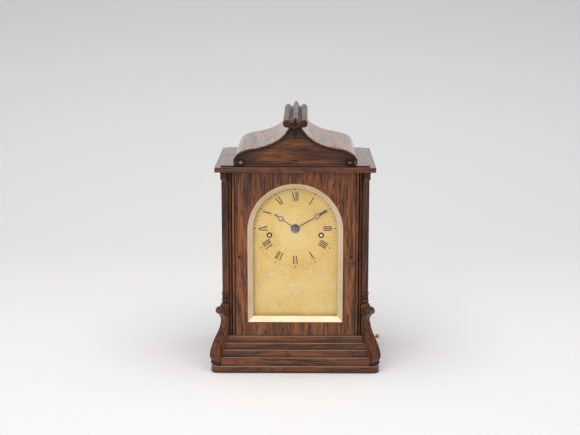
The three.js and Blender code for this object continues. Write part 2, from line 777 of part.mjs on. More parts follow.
// A bevelled ring round the arched opening. Each corner of its section follows the arch at its own inset.
function bezel() {
  const front = doorFront + bezelSetBack;
  const section = [
    [glueLine, front], [glueLine + bezelFlat, front], [bezelWidth, bezelBack - bezelRim],
    [bezelWidth, bezelBack], [glueLine, bezelBack],
  ];
  const rings = section.map(([inset, y]) => (
    archOutline(sightHalfWidth - inset, sightBottom + inset, sightSpring).map(([x, z]) => [x, y, z])
  ));
  const stations = rings[0].length;
  const indices = [];
  section.forEach((_, j) => {
    const next = (j + 1) % section.length;
    for (let i = 0; i < stations; i += 1) {
      const k = (i + 1) % stations;
      const [a, b, c, d] = [j * stations + i, j * stations + k, next * stations + k, next * stations + i];
      indices.push(a, b, c, a, c, d);
    }
  });
  const geometry = new THREE.BufferGeometry();
  geometry.setAttribute('position', new THREE.Float32BufferAttribute(rings.flat(2), 3));
  geometry.setIndex(indices);
  geometry.computeVertexNormals();
  return geometry;
}

// ---------------------------------------------------------------- dial and hands
function addDial() {
  const edge = postInner - seatGap;
  const maskOutline = [
    [-edge, doorBottom], [edge, doorBottom], [edge, doorTop], [-edge, doorTop],
  ];
  const maskOpening = archOutline(maskHalfOpening, maskBottom, sightSpring);
  add('dial_mask', frontPlate(maskOutline, maskFront, maskBack, [maskOpening]), 'darkRosewood');

  const holes = [
    hole(goingFusee, windingHoleRadius, 16), hole(strikeFusee, windingHoleRadius, 16),
    hole(centre, hourPipeRadius + pivotGap * 2, 12),
  ];
  const outline = archOutline(maskHalfOpening + dialLap, maskBottom - dialLap, sightSpring, 28);
  const plate = frontPlate(outline, dialFront, dialBack, holes);
  const feet = [-1, 1].flatMap((side) => [
    [side * lowerFootReach, dialCentreAboveFloor - lowerFootDrop],
    [side * upperFootReach, dialCentreAboveFloor + upperFootRise],
  ]).map((foot) => rod(foot, dialFootRadius, dialBack - dialThickness / 2, frontPlateFront - glueLine));
  add('dial_plate', joined(plate, ...feet), 'gilt');
}

// A moon hand pointing up from the origin: a stem, an open ring and a tip.
function handShape(length, ring, bossRadius, boreRadius) {
  const half = handStemWidth / 2;
  const sides = 14;
  const ringTop = ring + handRingRadius;
  const spread = THREE.MathUtils.radToDeg(Math.asin(half / handRingRadius));
  const bossSpread = THREE.MathUtils.radToDeg(Math.asin(half / bossRadius));
  const outline = [
    ...arc(0, 0, bossRadius, 90 + bossSpread, 450 - bossSpread, sides),
    ...arc(0, ring, handRingRadius, -90 + spread, 90 - spread * 2, 6),
    [half * 1.2, ringTop + handRingRadius * 0.5], [half * 2, ringTop + handRingRadius * 1.3],
    [handTipWidth / 2, length], [-handTipWidth / 2, length],
    [-half * 2, ringTop + handRingRadius * 1.3], [-half * 1.2, ringTop + handRingRadius * 0.5],
    ...arc(0, ring, handRingRadius, 90 + spread * 2, 270 - spread, 6),
  ];
  const window = circle([0, ring], handRingRadius - handRingWidth, 12);
  const bore = hole([0, 0], boreRadius);
  return [outline, [window, bore]];
}

const cannonBore = arborRadius + pivotGap;
const cannonPipeRadius = cannonBore + cannonPipeWall;
const hourBore = cannonPipeRadius + pivotGap;
const hourPipeRadius = hourBore + hourPipeWall;
const hourHandBack = dialFront - hourHandGap;
const hourHandFront = hourHandBack - handThickness;
const hourPipeFront = hourHandFront - pipeProud;
const minuteHandBack = hourPipeFront - pivotGap;
const minuteHandFront = minuteHandBack - handThickness;
const cannonFront = minuteHandFront - pipeProud;

function addHands() {
  const minuteTurn = shownMinutes / 60 * 2 * Math.PI;
  const hourTurn = (shownHours + shownMinutes / 60) / 12 * 2 * Math.PI;
  const hourSeat = hourPipeRadius + glueLine;
  const [hourOutline, hourHoles] = handShape(hourHandLength, hourHandRing, handBossRadius, hourSeat);
  const hour = frontPlate(hourOutline, hourHandFront, hourHandBack, hourHoles);
  add('hour_hand', hour, 'bluedSteel', [centre[0], 0, centre[1]]).rotation.y = hourTurn;

  const bossRadius = handBossRadius - bossStep;
  const minuteSeat = cannonPipeRadius + glueLine;
  const [outline, holes] = handShape(minuteHandLength, minuteHandRing, bossRadius, minuteSeat);
  const minute = frontPlate(outline, minuteHandFront, minuteHandBack, holes);
  add('minute_hand', minute, 'bluedSteel', [centre[0], 0, centre[1]]).rotation.y = minuteTurn;
}

// ---------------------------------------------------------------- back door
function addBackDoor() {
  const front = caseHalfDepth - backDoorThickness;
  const corner = backDoorCorner;
  const halfWidth = backDoorHalfWidth;
  const plan = [
    [-halfWidth, front], [halfWidth, front],
    ...arc(...backHingeAxis, corner, 0, 90, 5), [-halfWidth, caseHalfDepth],
  ];
  const sight = (grow, y0, y1) => box(
    [-backSightHalfWidth - grow, backSightHalfWidth + grow], [y0, y1],
    [doorBottom + backDoorRail - grow, doorTop - backDoorRail + grow],
  );
  const rebateBack = front + backGlassThickness + glueLine;
  const knobAt = [-(halfWidth + backSightHalfWidth) / 2, (doorBottom + doorTop) / 2];
  const spigotRadius = doorKnobRadius * 0.45;
  const door = cut(
    planBoard(plan, doorBottom, doorTop),
    sight(0, front - 1, caseHalfDepth + 1),
    sight(glassLap + seatGap, front - 1, rebateBack),
    drill(backHingeAxis, backRodRadius + pivotGap, doorBottom - 1, doorTop + 1),
    borer(knobAt, spigotRadius + pivotGap, caseHalfDepth - doorKnobSpigot - mortise, caseHalfDepth + 1),
  );
  add('back_door', door, 'rosewood');
  add('back_door_glass', sight(glassLap, front, front + backGlassThickness), 'glass');
  const rodEnds = [caseBottom - hingeRodReach, caseTop + hingeRodReach];
  add('back_hinge_rod', post(backHingeAxis, backRodRadius, ...rodEnds), 'brass');

  const r = doorKnobRadius;
  const knob = turned([
    [0, -doorKnobSpigot], [spigotRadius, -doorKnobSpigot], [spigotRadius, glueLine],
    [r * 0.7, glueLine], [r * 0.6, r * 0.3],
    [r * 0.5, r * 0.8], [r, doorKnobLength * 0.6], [r * 0.8, doorKnobLength * 0.88], [0, doorKnobLength],
  ], 14).rotateX(-Math.PI / 2);
  add('back_door_knob', knob, 'brass', [knobAt[0], caseHalfDepth, knobAt[1]]);
}

// ---------------------------------------------------------------- gears
const addendum = 0.75; // in modules
const dedendum = 1.15;

// Flat-sided teeth, thin enough to leave running backlash. firstTooth is the angle of one tooth's middle.
function gearOutline([x, z], teeth, pitchRadius, firstTooth) {
  const size = 2 * pitchRadius / teeth;
  const pitch = 2 * Math.PI / teeth;
  const tip = pitchRadius + addendum * size;
  const root = pitchRadius - dedendum * size;
  const points = [];
  for (let i = 0; i < teeth; i += 1) {
    const middle = firstTooth + i * pitch;
    points.push(
      polar([x, z], root, middle - 0.28 * pitch), polar([x, z], tip, middle - 0.09 * pitch),
      polar([x, z], tip, middle + 0.09 * pitch), polar([x, z], root, middle + 0.28 * pitch),
    );
  }
  return points;
}

// Four windows between the hub and the rim, leaving the crossings.
function crossings([x, z], hub, rim) {
  return [0, 90, 180, 270].map((start) => [
    ...arc(x, z, rim, start + spokeAngle / 2, start + 90 - spokeAngle / 2, 4),
    ...arc(x, z, hub, start + 90 - spokeAngle * 1.5, start + spokeAngle * 1.5, 2),
  ]);
}

function direction([ax, az], [bx, bz]) {
  return Math.atan2(bz - az, bx - ax);
}

// A wheel has a tooth, and a pinion a gap, on the line to its mate.
function wheel(at, teeth, radius, mate, y0, y1, hub = 0) {
  const holes = hub ? crossings(at, hub, radius * wheelRim) : [];
  return frontPlate(gearOutline(at, teeth, radius, direction(at, mate)), y0, y1, holes);
}

function pinion(at, teeth, radius, mate, y0, y1) {
  return frontPlate(gearOutline(at, teeth, radius, direction(at, mate) + Math.PI / teeth), y0, y1);
}

function pitchRadii(a, b, teethA, teethB) {
  const apart = Math.hypot(b[0] - a[0], b[1] - a[1]);
  return [apart * teethA / (teethA + teethB), apart * teethB / (teethA + teethB)];
}

// ---------------------------------------------------------------- levels between the plates
const pivotInset = 0.4; // the arbors end this far inside the plates' outer faces
const greatWheelRoom = 1.8; // between the great wheel and the back plate
const strikeWheelStep = 3.4; // the striking great wheel is this much further forward
const centreWheelRoom = 2.4; // between the centre wheel and the front plate
const thirdWheelStep = 8; // from wheel to wheel, going back
const escapeWheelStep = 15;
const pinWheelStep = 2;

const pivotFront = frontPlateFront + pivotInset;
const pivotBack = backPlateBack - pivotInset;
const greatBack = backPlateFront - greatWheelRoom;
const greatFront = greatBack - greatWheelThickness;
const strikeGreatFront = greatFront - strikeWheelStep;
const strikeGreatBack = strikeGreatFront + greatWheelThickness;
const centreFront = frontPlateBack + centreWheelRoom;
const thirdFront = centreFront + thirdWheelStep;
const escapeFront = thirdFront + escapeWheelStep;
const pinWheelFront = centreFront + pinWheelStep;

const [greatRadius, centrePinionRadius] = pitchRadii(goingFusee, centre, greatTeeth, leaves);
const [centreRadius, thirdPinionRadius] = pitchRadii(centre, thirdArbor, centreTeeth, leaves);
const [thirdRadius, escapePinionRadius] = pitchRadii(thirdArbor, escapeArbor, thirdTeeth, leaves);
const [strikeRadius, pinPinionRadius] = pitchRadii(strikeFusee, pinWheelArbor, strikeTeeth, leaves);
const [cannonRadius, minuteRadius] = pitchRadii(centre, minutePost, cannonTeeth, minuteTeeth);
const [minutePinionRadius, hourRadius] = pitchRadii(centre, minutePost, minuteLeaves, hourTeeth);

function pinionSpan(wheelFront) {
  const middle = wheelFront + wheelThickness / 2;
  return [middle - pinionLength / 2, middle + pinionLength / 2];
}

function addGoingTrain() {
  const great = greatWheel(goingFusee, greatTeeth, greatRadius, centre, greatFront, greatBack);
  add('going_great_wheel', great, 'brass');

  const centreWheel = joined(
    rod(centre, arborRadius, cannonFront + centreArborInset, pivotBack),
    wheel(
      centre, centreTeeth, centreRadius, thirdArbor, centreFront, centreFront + wheelThickness,
      centreWheelHub,
    ),
    pinion(centre, leaves, centrePinionRadius, goingFusee, ...pinionSpan(greatFront)),
  );
  add('centre_wheel', centreWheel, 'brass');

  const thirdWheel = joined(
    rod(thirdArbor, arborRadius, pivotFront, pivotBack),
    wheel(
      thirdArbor, thirdTeeth, thirdRadius, escapeArbor, thirdFront, thirdFront + wheelThickness,
      thirdWheelHub,
    ),
    pinion(thirdArbor, leaves, thirdPinionRadius, centre, ...pinionSpan(centreFront)),
  );
  add('third_wheel', thirdWheel, 'brass');

  const windows = crossings(escapeArbor, escapeRadius * 0.25, escapeRadius * 0.72);
  const escapeWheel = joined(
    rod(escapeArbor, thinArborRadius, pivotFront, pivotBack),
    frontPlate(escapeOutline(), escapeFront, escapeFront + escapeWheelThickness, windows),
    pinion(escapeArbor, leaves, escapePinionRadius, thirdArbor, ...pinionSpan(thirdFront)),
  );
  add('escape_wheel', escapeWheel, 'brass');
}

// A great wheel turns freely on its fusee's arbor.
function greatWheel(at, teeth, radius, mate, front, back) {
  const disc = wheel(at, teeth, radius, mate, front, back, greatWheelHub);
  return cut(disc, borer(at, fuseeArborRadius + seatGap, front - 1, back + 1, 12));
}

// Pointed, leaning teeth.
function escapeOutline() {
  const pitch = 2 * Math.PI / escapeTeeth;
  return Array.from({ length: escapeTeeth }, (_, i) => [
    polar(escapeArbor, escapeRadius * 0.88, i * pitch),
    polar(escapeArbor, escapeRadius, (i + 0.5) * pitch),
    polar(escapeArbor, escapeRadius * 0.88, (i + 0.55) * pitch),
  ]).flat();
}

// The cone steps down from a flange against its great wheel to a snailed cap near the front plate.
function fusee(at, wheelFront) {
  const grooves = fuseeLength - fuseeFlange - fuseeCap;
  const flangeRadius = fuseeBigRadius + fuseeCap;
  const capRadius = fuseeSmallRadius + fuseeCap;
  const profile = [[0, 0], [flangeRadius, 0], [flangeRadius, fuseeFlange]];
  for (let i = 0; i < fuseeTurns; i += 1) {
    const radius = fuseeBigRadius - (fuseeBigRadius - fuseeSmallRadius) * Math.sqrt((i + 0.6) / fuseeTurns);
    const start = fuseeFlange + grooves * i / fuseeTurns + glueLine;
    profile.push([radius, start], [radius, start + grooves * 0.7 / fuseeTurns]);
  }
  profile.push([capRadius, fuseeLength - fuseeCap], [capRadius, fuseeLength], [0, fuseeLength]);
  const cone = turned(profile, 14).rotateX(Math.PI / 2).translate(at[0], wheelFront - seatGap, at[1]);
  const half = windingSquare / 2;
  const squareFront = dialFront - windingSquareProud;
  return joined(
    cone,
    rod(at, fuseeArborRadius, frontPlateFront - fuseeArborRadius, pivotBack, 10),
    box([at[0] - half, at[0] + half], [squareFront, frontPlateFront - 1], [at[1] - half, at[1] + half]),
  );
}

function barrel(at) {
  const r = barrelRadius;
  const waist = r - barrelCapProud;
  const upper = barrelLength - barrelCapThickness;
  const drum = turned([
    [0, 0], [r, 0], [r, barrelCapThickness], [waist, barrelCapThickness],
    [waist, upper], [r, upper], [r, barrelLength], [0, barrelLength],
  ], 18).rotateX(-Math.PI / 2).translate(at[0], frontPlateBack + barrelBehindPlate, at[1]);
  return joined(drum, rod(at, barrelArborRadius, pivotFront, pivotBack, 10));
}

function addFuseesAndBarrels() {
  add('going_fusee', fusee(goingFusee, greatFront), 'brass');
  add('strike_fusee', fusee(strikeFusee, strikeGreatFront), 'brass');
  const [strikeBarrel, goingBarrel] = barrelArbors;
  add('going_barrel', barrel(goingBarrel), 'brass');
  add('strike_barrel', barrel(strikeBarrel), 'brass');
}

function addStrikeTrain() {
  const great = greatWheel(
    strikeFusee, strikeTeeth, strikeRadius, pinWheelArbor, strikeGreatFront, strikeGreatBack,
  );
  add('strike_great_wheel', great, 'brass');

  const pins = Array.from({ length: pinCount }, (_, i) => {
    const at = polar(pinWheelArbor, pinCircleRadius, i * 2 * Math.PI / pinCount);
    return rod(at, pinRadius, pinWheelFront - pinLength, pinWheelFront + wheelThickness / 3, 4);
  });
  const pinWheel = joined(
    rod(pinWheelArbor, arborRadius, pivotFront, pivotBack),
    rod(pinWheelArbor, pinWheelRadius, pinWheelFront, pinWheelFront + wheelThickness, 24),
    pinion(pinWheelArbor, leaves, pinPinionRadius, strikeFusee, ...pinionSpan(strikeGreatFront)),
    ...pins,
  );
  add('pin_wheel', pinWheel, 'brass');
}

// ---------------------------------------------------------------- motion work, in front of the front plate
function addMotionWork() {
  const cannonBack = frontPlateFront - motionWheelGap;
  const cannonGearFront = cannonBack - wheelThickness;
  const hourGearBack = cannonGearFront - motionWheelGap;
  const hourGearFront = hourGearBack - wheelThickness;

  const cannon = cut(
    joined(
      rod(centre, cannonPipeRadius, cannonFront, cannonBack, 12),
      wheel(centre, cannonTeeth, cannonRadius, minutePost, cannonGearFront, cannonBack),
    ),
    borer(centre, cannonBore, cannonFront - 1, cannonBack + 1, 12),
  );
  add('cannon_pinion', cannon, 'steel');

  const hourWheel = cut(
    joined(
      rod(centre, hourPipeRadius, hourPipeFront, hourGearBack, 12),
      wheel(centre, hourTeeth, hourRadius, minutePost, hourGearFront, hourGearBack),
    ),
    borer(centre, hourBore, hourPipeFront - 1, hourGearBack + 1, 12),
  );
  add('hour_wheel', hourWheel, 'brass');

  const halfTooth = Math.PI / minuteTeeth;
  const toCentre = direction(minutePost, centre);
  const minuteWheel = cut(
    joined(
      frontPlate(
        gearOutline(minutePost, minuteTeeth, minuteRadius, toCentre + halfTooth),
        cannonGearFront, cannonBack,
      ),
      pinion(minutePost, minuteLeaves, minutePinionRadius, centre, hourGearFront - seatGap, cannonGearFront),
    ),
    borer(minutePost, arborRadius + pivotGap, hourGearFront - 1, cannonBack + 1),
  );
  add('minute_wheel', minuteWheel, 'brass');
}

// ---------------------------------------------------------------- plates, pillars and seat board
function addFrame() {
  const outline = [
    [-plateHalfWidth, plateBottom], [plateHalfWidth, plateBottom],
    [plateHalfWidth, plateTop], [-plateHalfWidth, plateTop],
  ];
  const pivot = arborRadius + pivotGap;
  const barrels = barrelArbors.map((at) => hole(at, barrelArborRadius + pivotGap));
  const fusees = [goingFusee, strikeFusee].map((at) => hole(at, fuseeArborRadius + pivotGap));
  const shared = [
    ...[centre, thirdArbor, escapeArbor, pinWheelArbor, hammerArbor].map((at) => hole(at, pivot, 8)),
    ...barrels, ...fusees,
  ];
  const front = joined(
    frontPlate(outline, frontPlateFront, frontPlateBack, [...shared, hole(palletArbor, pivot, 8)]),
    rod(minutePost, arborRadius, frontPlateFront - minutePostLength, frontPlateFront + plateThickness / 2),
  );
  add('front_plate', front, 'brass');
  const palletHole = hole(palletArbor, arborRadius * 3, 12);
  add('back_plate', frontPlate(outline, backPlateFront, backPlateBack, [...shared, palletHole]), 'brass');

  for (const [side, hand] of [[-1, 'left'], [1, 'right']]) {
    for (const [z, end] of [[plateBottom + pillarInset, 'lower'], [plateTop - pillarInset, 'upper']]) {
      const at = [side * (plateHalfWidth - pillarInset), z];
      const pillar = rod(at, pillarRadius, frontPlateBack + glueLine, backPlateFront - glueLine, 10);
      add(`${hand}_${end}_pillar`, pillar, 'brass');
    }
  }

  const boardHalf = caseHalfWidth - panelThickness - seatGap;
  const boardTop = plateBottom - glueLine;
  add('seat_board', box(
    [-boardHalf, boardHalf], [frontPlateFront - seatBoardFront, backPlateBack + seatBoardBack],
    [boardTop - seatBoardThickness, boardTop],
  ), 'mahogany');
}

// ---------------------------------------------------------------- escapement and pendulum
const cockFront = backPlateBack + cockStandOff;
const cockBack = cockFront + cockThickness;
const pendulumY = cockBack + pendulumStandOff;
const suspensionZ = palletArbor[1] + suspensionRise;

function addEscapement() {
  const half = cockWidth / 2;
  const foot = palletArbor[1] - cockDrop;
  const cock = cut(
    joined(
      box([-half, half], [cockFront, cockBack], [foot, suspensionZ + studHeight]),
      ...[-half, half - cockLegWidth].map((x) => box(
        [x, x + cockLegWidth], [backPlateBack + glueLine, cockFront + cockThickness / 2],
        [foot, foot + cockStandOff],
      )),
      box(
        [-studWidth / 2, studWidth / 2], [cockFront + cockThickness / 2, pendulumY + studHeight * 0.6],
        [suspensionZ, suspensionZ + studHeight],
      ),
    ),
    borer(palletArbor, thinArborRadius + pivotGap, cockFront - 1, cockBack + 1),
  );
  add('back_cock', cock, 'brass');

  const middle = escapeFront + escapeWheelThickness / 2;
  const anchor = frontPlate(anchorOutline(), middle - anchorThickness / 2, middle + anchorThickness / 2);
  const crutch = [backPlateBack + crutchWidth, backPlateBack + crutchWidth + crutchThickness];
  const crutchBottom = palletArbor[1] - crutchLength;
  const fork = pendulumRodRadius + seatGap * 2;
  const forkHeight = [crutchBottom, crutchBottom + crutchWidth];
  const pallets = joined(
    rod(palletArbor, thinArborRadius, pivotFront, cockBack - seatGap),
    anchor,
    box([-crutchWidth / 2, crutchWidth / 2], crutch, [crutchBottom, palletArbor[1]]),
    box([-fork - forkWall, fork + forkWall], crutch, forkHeight),
    ...[-fork - forkWall, fork].map((x) => box(
      [x, x + forkWall], [crutch[0], pendulumY + pendulumRodRadius * 2], forkHeight,
    )),
  );
  add('pallets_and_crutch', pallets, 'steel');

  const bobZ = caseBottom + bobRise;
  const springBottom = suspensionZ - suspensionLength;
  const edge = bobThickness * 0.12;
  const bob = turned([
    [0, -bobThickness / 2], [bobRadius * 0.55, -bobThickness * 0.42], [bobRadius * 0.95, -edge],
    [bobRadius, 0], [bobRadius * 0.95, edge], [bobRadius * 0.55, bobThickness * 0.42],
    [0, bobThickness / 2],
  ], 20).rotateX(Math.PI / 2).translate(0, pendulumY, bobZ);
  const pendulum = joined(
    box(
      [-suspensionWidth / 2, suspensionWidth / 2],
      [pendulumY - suspensionThickness / 2, pendulumY + suspensionThickness / 2],
      [springBottom, suspensionZ - seatGap],
    ),
    post([0, pendulumY], pendulumRodRadius, bobZ, springBottom + pendulumRodRadius, 8),
    bob,
    post([0, pendulumY], ratingNutRadius, bobZ - bobRadius - ratingNutLength, bobZ - bobRadius + edge, 10),
  );
  add('pendulum', pendulum, 'brass');
}

// Two arms that end in pads, one each side of the escape wheel and clear of its teeth.
function anchorOutline() {
  const [, palletZ] = palletArbor;
  const padZ = escapeArbor[1] + Math.sqrt((escapeRadius + palletClearance) ** 2 - palletReach ** 2);
  const half = [
    [palletReach - 1.2, padZ + 3], [palletReach - 0.6, padZ + 0.9], [palletReach + 1.4, padZ + 0.3],
    [palletReach + 1.6, padZ + 2.6], [2.6, palletZ + 2],
  ];
  return [[-2.4, palletZ - 2.2], [2.4, palletZ - 2.2], ...half, ...mirrored(half)];
}

// ---------------------------------------------------------------- bell and hammer
function addBell() {
  const at = [-bellReach, backPlateBack + bellBehindPlate];
  const mouth = plateTop + bellAbovePlate;
  const top = mouth + bellHeight;
  const inside = bellRadius - bellWall;
  const bore = bellStandRadius + pivotGap;
  const bellProfile = [
    [bore, bellHeight - bellWall], [bellRadius * 0.42, bellHeight - bellWall - 0.4],
    [bellRadius * 0.74 - bellWall, bellHeight * 0.66], [bellRadius * 0.9 - bellWall, bellHeight * 0.35],
    [inside, 0], [bellRadius, 0], [bellRadius * 0.9, bellHeight * 0.35],
    [bellRadius * 0.78, bellHeight * 0.72], [bellRadius * 0.45, bellHeight - 0.4],
    [bore, bellHeight], [bore, bellHeight - bellWall],
  ];
  add('bell', turned(bellProfile, 24), 'bellMetal', [at[0], at[1], mouth]);

  const shoulder = top - bellWall - seatGap;
  const footTop = plateTop - standDrop;
  const footX = [at[0] - standWidth / 2, at[0] + standWidth / 2];
  const footFront = backPlateBack + glueLine;
  const nut = top + seatGap;
  const stand = joined(
    box(footX, [footFront, footFront + standFootThickness], [footTop - standFootHeight, footTop]),
    box(footX, [footFront, at[1] + bellStandRadius + seatGap], [footTop - standArmHeight, footTop]),
    post(at, bellStandRadius, footTop - standArmHeight / 2, nut + bellNutHeight / 2),
    post(at, bellCollarRadius, shoulder - bellCollarHeight, shoulder),
    post(at, bellNutRadius, nut, nut + bellNutHeight),
  );
  add('bell_stand', stand, 'steel');

  const armY = backPlateBack + crutchWidth;
  const head = [at[0] - bellRadius - hammerGap - hammerHeadLength / 2, mouth + hammerHeadRadius * 0.8];
  const headSolid = new THREE.CylinderGeometry(hammerHeadRadius, hammerHeadRadius, hammerHeadLength, 12)
    .rotateZ(Math.PI / 2).translate(head[0], at[1], head[1]);
  const tailReach = pinCircleRadius + pinRadius + hammerTailGap;
  const tail = polar(pinWheelArbor, tailReach, direction(pinWheelArbor, hammerArbor));
  const tailFront = pinWheelFront - hammerArmThickness - seatGap;
  const hammer = joined(
    rod(hammerArbor, arborRadius, pivotFront, armY + hammerArmThickness + seatGap),
    bar(hammerArbor, head, hammerArmWidth, armY, armY + hammerArmThickness),
    bar(hammerArbor, tail, hammerArmWidth, tailFront, tailFront + hammerArmThickness),
    headSolid,
  );
  add('hammer', hammer, 'steel');
}

// A flat bar between two points in elevation.
function bar([ax, az], [bx, bz], width, front, back) {
  const length = Math.hypot(bx - ax, bz - az);
  const [nx, nz] = [-(bz - az) / length * width / 2, (bx - ax) / length * width / 2];
  const outline = [[ax - nx, az - nz], [ax + nx, az + nz], [bx + nx, bz + nz], [bx - nx, bz - nz]];
  return frontPlate(outline, front, back);
}

// ---------------------------------------------------------------- repeat pull
function addRepeatPull() {
  const r = repeatKnobRadius;
  const face = repeatNeck;
  const knob = turned([
    [0, -repeatRodLength + 2], [repeatRodRadius, -repeatRodLength + 2], [repeatRodRadius, face],
    [r * 0.62, face], [r * 0.62, face + r * 0.2], [r * 0.45, face + r * 0.35],
    [r * 0.9, face + r * 0.8], [r, face + repeatKnobLength * 0.5],
    [r * 0.75, face + repeatKnobLength * 0.85], [0, face + repeatKnobLength],
  ], 14).rotateY(Math.PI / 2);
  add('repeat_knob', knob, 'brass', [repeatBoardSide, repeatSetBack, repeatAboveFloor]);
}

addPlinth();
addCornerPosts();
addSidePanels();
addScrollBrackets();
addCornice();
addRoof();
addFinial();
addFrontDoor();
addDial();
addHands();
addBackDoor();
addFrame();
addGoingTrain();
addFuseesAndBarrels();
addStrikeTrain();
addMotionWork();
addEscapement();
addBell();
addRepeatPull();

export default clock;
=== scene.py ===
import json
import math
import random

import bmesh
import bpy
from mathutils import Matrix, Vector

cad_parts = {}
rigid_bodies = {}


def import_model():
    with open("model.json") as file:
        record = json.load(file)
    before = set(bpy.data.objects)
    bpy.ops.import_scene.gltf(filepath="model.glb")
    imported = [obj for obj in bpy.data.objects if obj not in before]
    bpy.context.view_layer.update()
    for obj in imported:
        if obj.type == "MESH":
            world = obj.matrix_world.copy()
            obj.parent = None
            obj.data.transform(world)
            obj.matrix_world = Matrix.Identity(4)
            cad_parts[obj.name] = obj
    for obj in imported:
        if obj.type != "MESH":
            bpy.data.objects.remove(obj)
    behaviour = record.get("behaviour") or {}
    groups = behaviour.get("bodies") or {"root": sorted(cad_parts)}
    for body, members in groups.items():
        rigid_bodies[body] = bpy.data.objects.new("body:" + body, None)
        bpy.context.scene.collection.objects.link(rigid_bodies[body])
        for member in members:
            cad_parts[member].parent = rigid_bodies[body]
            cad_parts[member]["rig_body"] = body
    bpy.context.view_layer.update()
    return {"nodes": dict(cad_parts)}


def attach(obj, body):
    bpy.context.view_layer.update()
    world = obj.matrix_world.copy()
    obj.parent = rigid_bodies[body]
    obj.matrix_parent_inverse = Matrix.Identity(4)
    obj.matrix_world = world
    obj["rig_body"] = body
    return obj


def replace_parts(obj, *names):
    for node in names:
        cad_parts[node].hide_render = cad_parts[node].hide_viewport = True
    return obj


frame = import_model()
nodes = frame["nodes"]
mm = 0.001
random.seed(5)
bpy.context.scene.view_settings.view_transform = "Standard"


# ---- helpers shared by all pieces
def hexColour(text):
    # sRGB hex to the linear values that Blender's sockets take
    parts = [int(text.lstrip("#")[i:i + 2], 16) / 255 for i in (0, 2, 4)]
    return tuple(c / 12.92 if c <= 0.04045 else ((c + 0.055) / 1.055) ** 2.4 for c in parts) + (1.0,)


def addNode(tree, kind, inputs=(), **settings):
    # settings are the node's own properties; inputs are values, sockets or nodes, by name or in order
    node = tree.nodes.new("ShaderNode" + kind)
    for name, value in settings.items():
        setattr(node, name, value)
    for name, value in inputs.items() if isinstance(inputs, dict) else enumerate(inputs):
        if isinstance(value, bpy.types.Node):
            value = next(socket for socket in value.outputs if socket.enabled)
        if isinstance(value, bpy.types.NodeSocket):
            tree.links.new(value, node.inputs[name])
        else:
            node.inputs[name].default_value = value
    return node


def newMaterial(name):
    material = bpy.data.materials.new(name)
    material.use_nodes = True
    tree = material.node_tree
    tree.nodes.clear()
    return material, tree


smooth = {"interpolation_type": "SMOOTHSTEP"}  # for a Map Range that fades in and out
noiseRange = (0.3, 0.7)  # nearly all of a noise lies between these
patchRange = (0.35, 0.7)
wearAndShadeMasks = {"samples": 6, "cornerRange": (0.95, 0.35), "edgeRange": (0.985, 0.80)}


def objectMillimetres(tree, shift=(0, 0, 0)):
    # every mesh is kept in the row frame, so object coordinates are real metres
    place = addNode(tree, "TexCoord").outputs["Object"]
    scaled = addNode(tree, "VectorMath", {0: place, "Scale": 1 / mm}, operation="SCALE")
    return addNode(tree, "VectorMath", [scaled, shift], operation="ADD")


def noiseBy(tree, vector, size, detail=3.0, roughness=0.55):
    # noise whose features are size millimetres, the same on each axis or one size for each
    sizes = size if isinstance(size, (tuple, list)) else (size, size, size)
    squeezed = addNode(tree, "VectorMath", [vector, [1 / s for s in sizes]], operation="MULTIPLY")
    return addNode(tree, "TexNoise", {
        "Vector": squeezed, "Scale": 1.0, "Detail": detail, "Roughness": roughness,
    })


def layered(tree, colour, layers):
    # lays each tone over the colour where its mask says, up to its share
    for mask, share, tone in layers:
        amount = addNode(tree, "Math", [mask, share], operation="MULTIPLY")
        colour = addNode(tree, "Mix", {0: amount, 6: colour, 7: hexColour(tone)}, data_type="RGBA")
    return colour


def crevices(tree, distance):
    # 0 in the open and up to 1 in corners, by ambient occlusion: on the wood a painted shade along with old
    # polish, on the metals the film that gathers there
    shade = addNode(tree, "AmbientOcclusion", {"Distance": distance * mm}, samples=wearAndShadeMasks["samples"])
    return addNode(tree, "MapRange", [shade.outputs["AO"], *wearAndShadeMasks["cornerRange"]], **smooth)


def wornAndLitEdges(tree, radius):
    # 1 on convex and concave arrises, found by how far a rounded normal leans from the real one
    rounded = addNode(tree, "Bevel", {"Radius": radius * mm}, samples=wearAndShadeMasks["samples"])
    plain = addNode(tree, "NewGeometry").outputs["Normal"]
    lean = addNode(tree, "VectorMath", [rounded, plain], operation="DOT_PRODUCT")
    return addNode(tree, "MapRange", [lean, *wearAndShadeMasks["edgeRange"]], **smooth)


# ---- camera, at the photograph's own place
photoCamera = {
    "imageWidth": 580,
    "focalPixels": 1256.73,
    "sensorWidth": 36,
    "place": (9.76, -1409.0, 447.5),
    "yaw": 0.662,
    "pitch": 11.539,
    "clip": (0.01, 50),
}


def addCamera(settings):
    data = bpy.data.cameras.new("photoCamera")
    data.sensor_width = settings["sensorWidth"]
    data.lens = settings["focalPixels"] / settings["imageWidth"] * settings["sensorWidth"]
    data.clip_start, data.clip_end = settings["clip"]
    camera = bpy.data.objects.new("photoCamera", data)
    bpy.context.scene.collection.objects.link(camera)
    yaw, pitch = math.radians(settings["yaw"]), math.radians(settings["pitch"])
    forward = Vector((
        -math.sin(yaw) * math.cos(pitch), math.cos(yaw) * math.cos(pitch), -math.sin(pitch),
    ))
    right = Vector((math.cos(yaw), math.sin(yaw), 0))
    up = right.cross(forward)
    turn = Matrix((right, up, -forward)).transposed().to_4x4()
    camera.matrix_world = Matrix.Translation(Vector(settings["place"]) * mm) @ turn
    bpy.context.scene.camera = camera


addCamera(photoCamera)
print("camera placed")


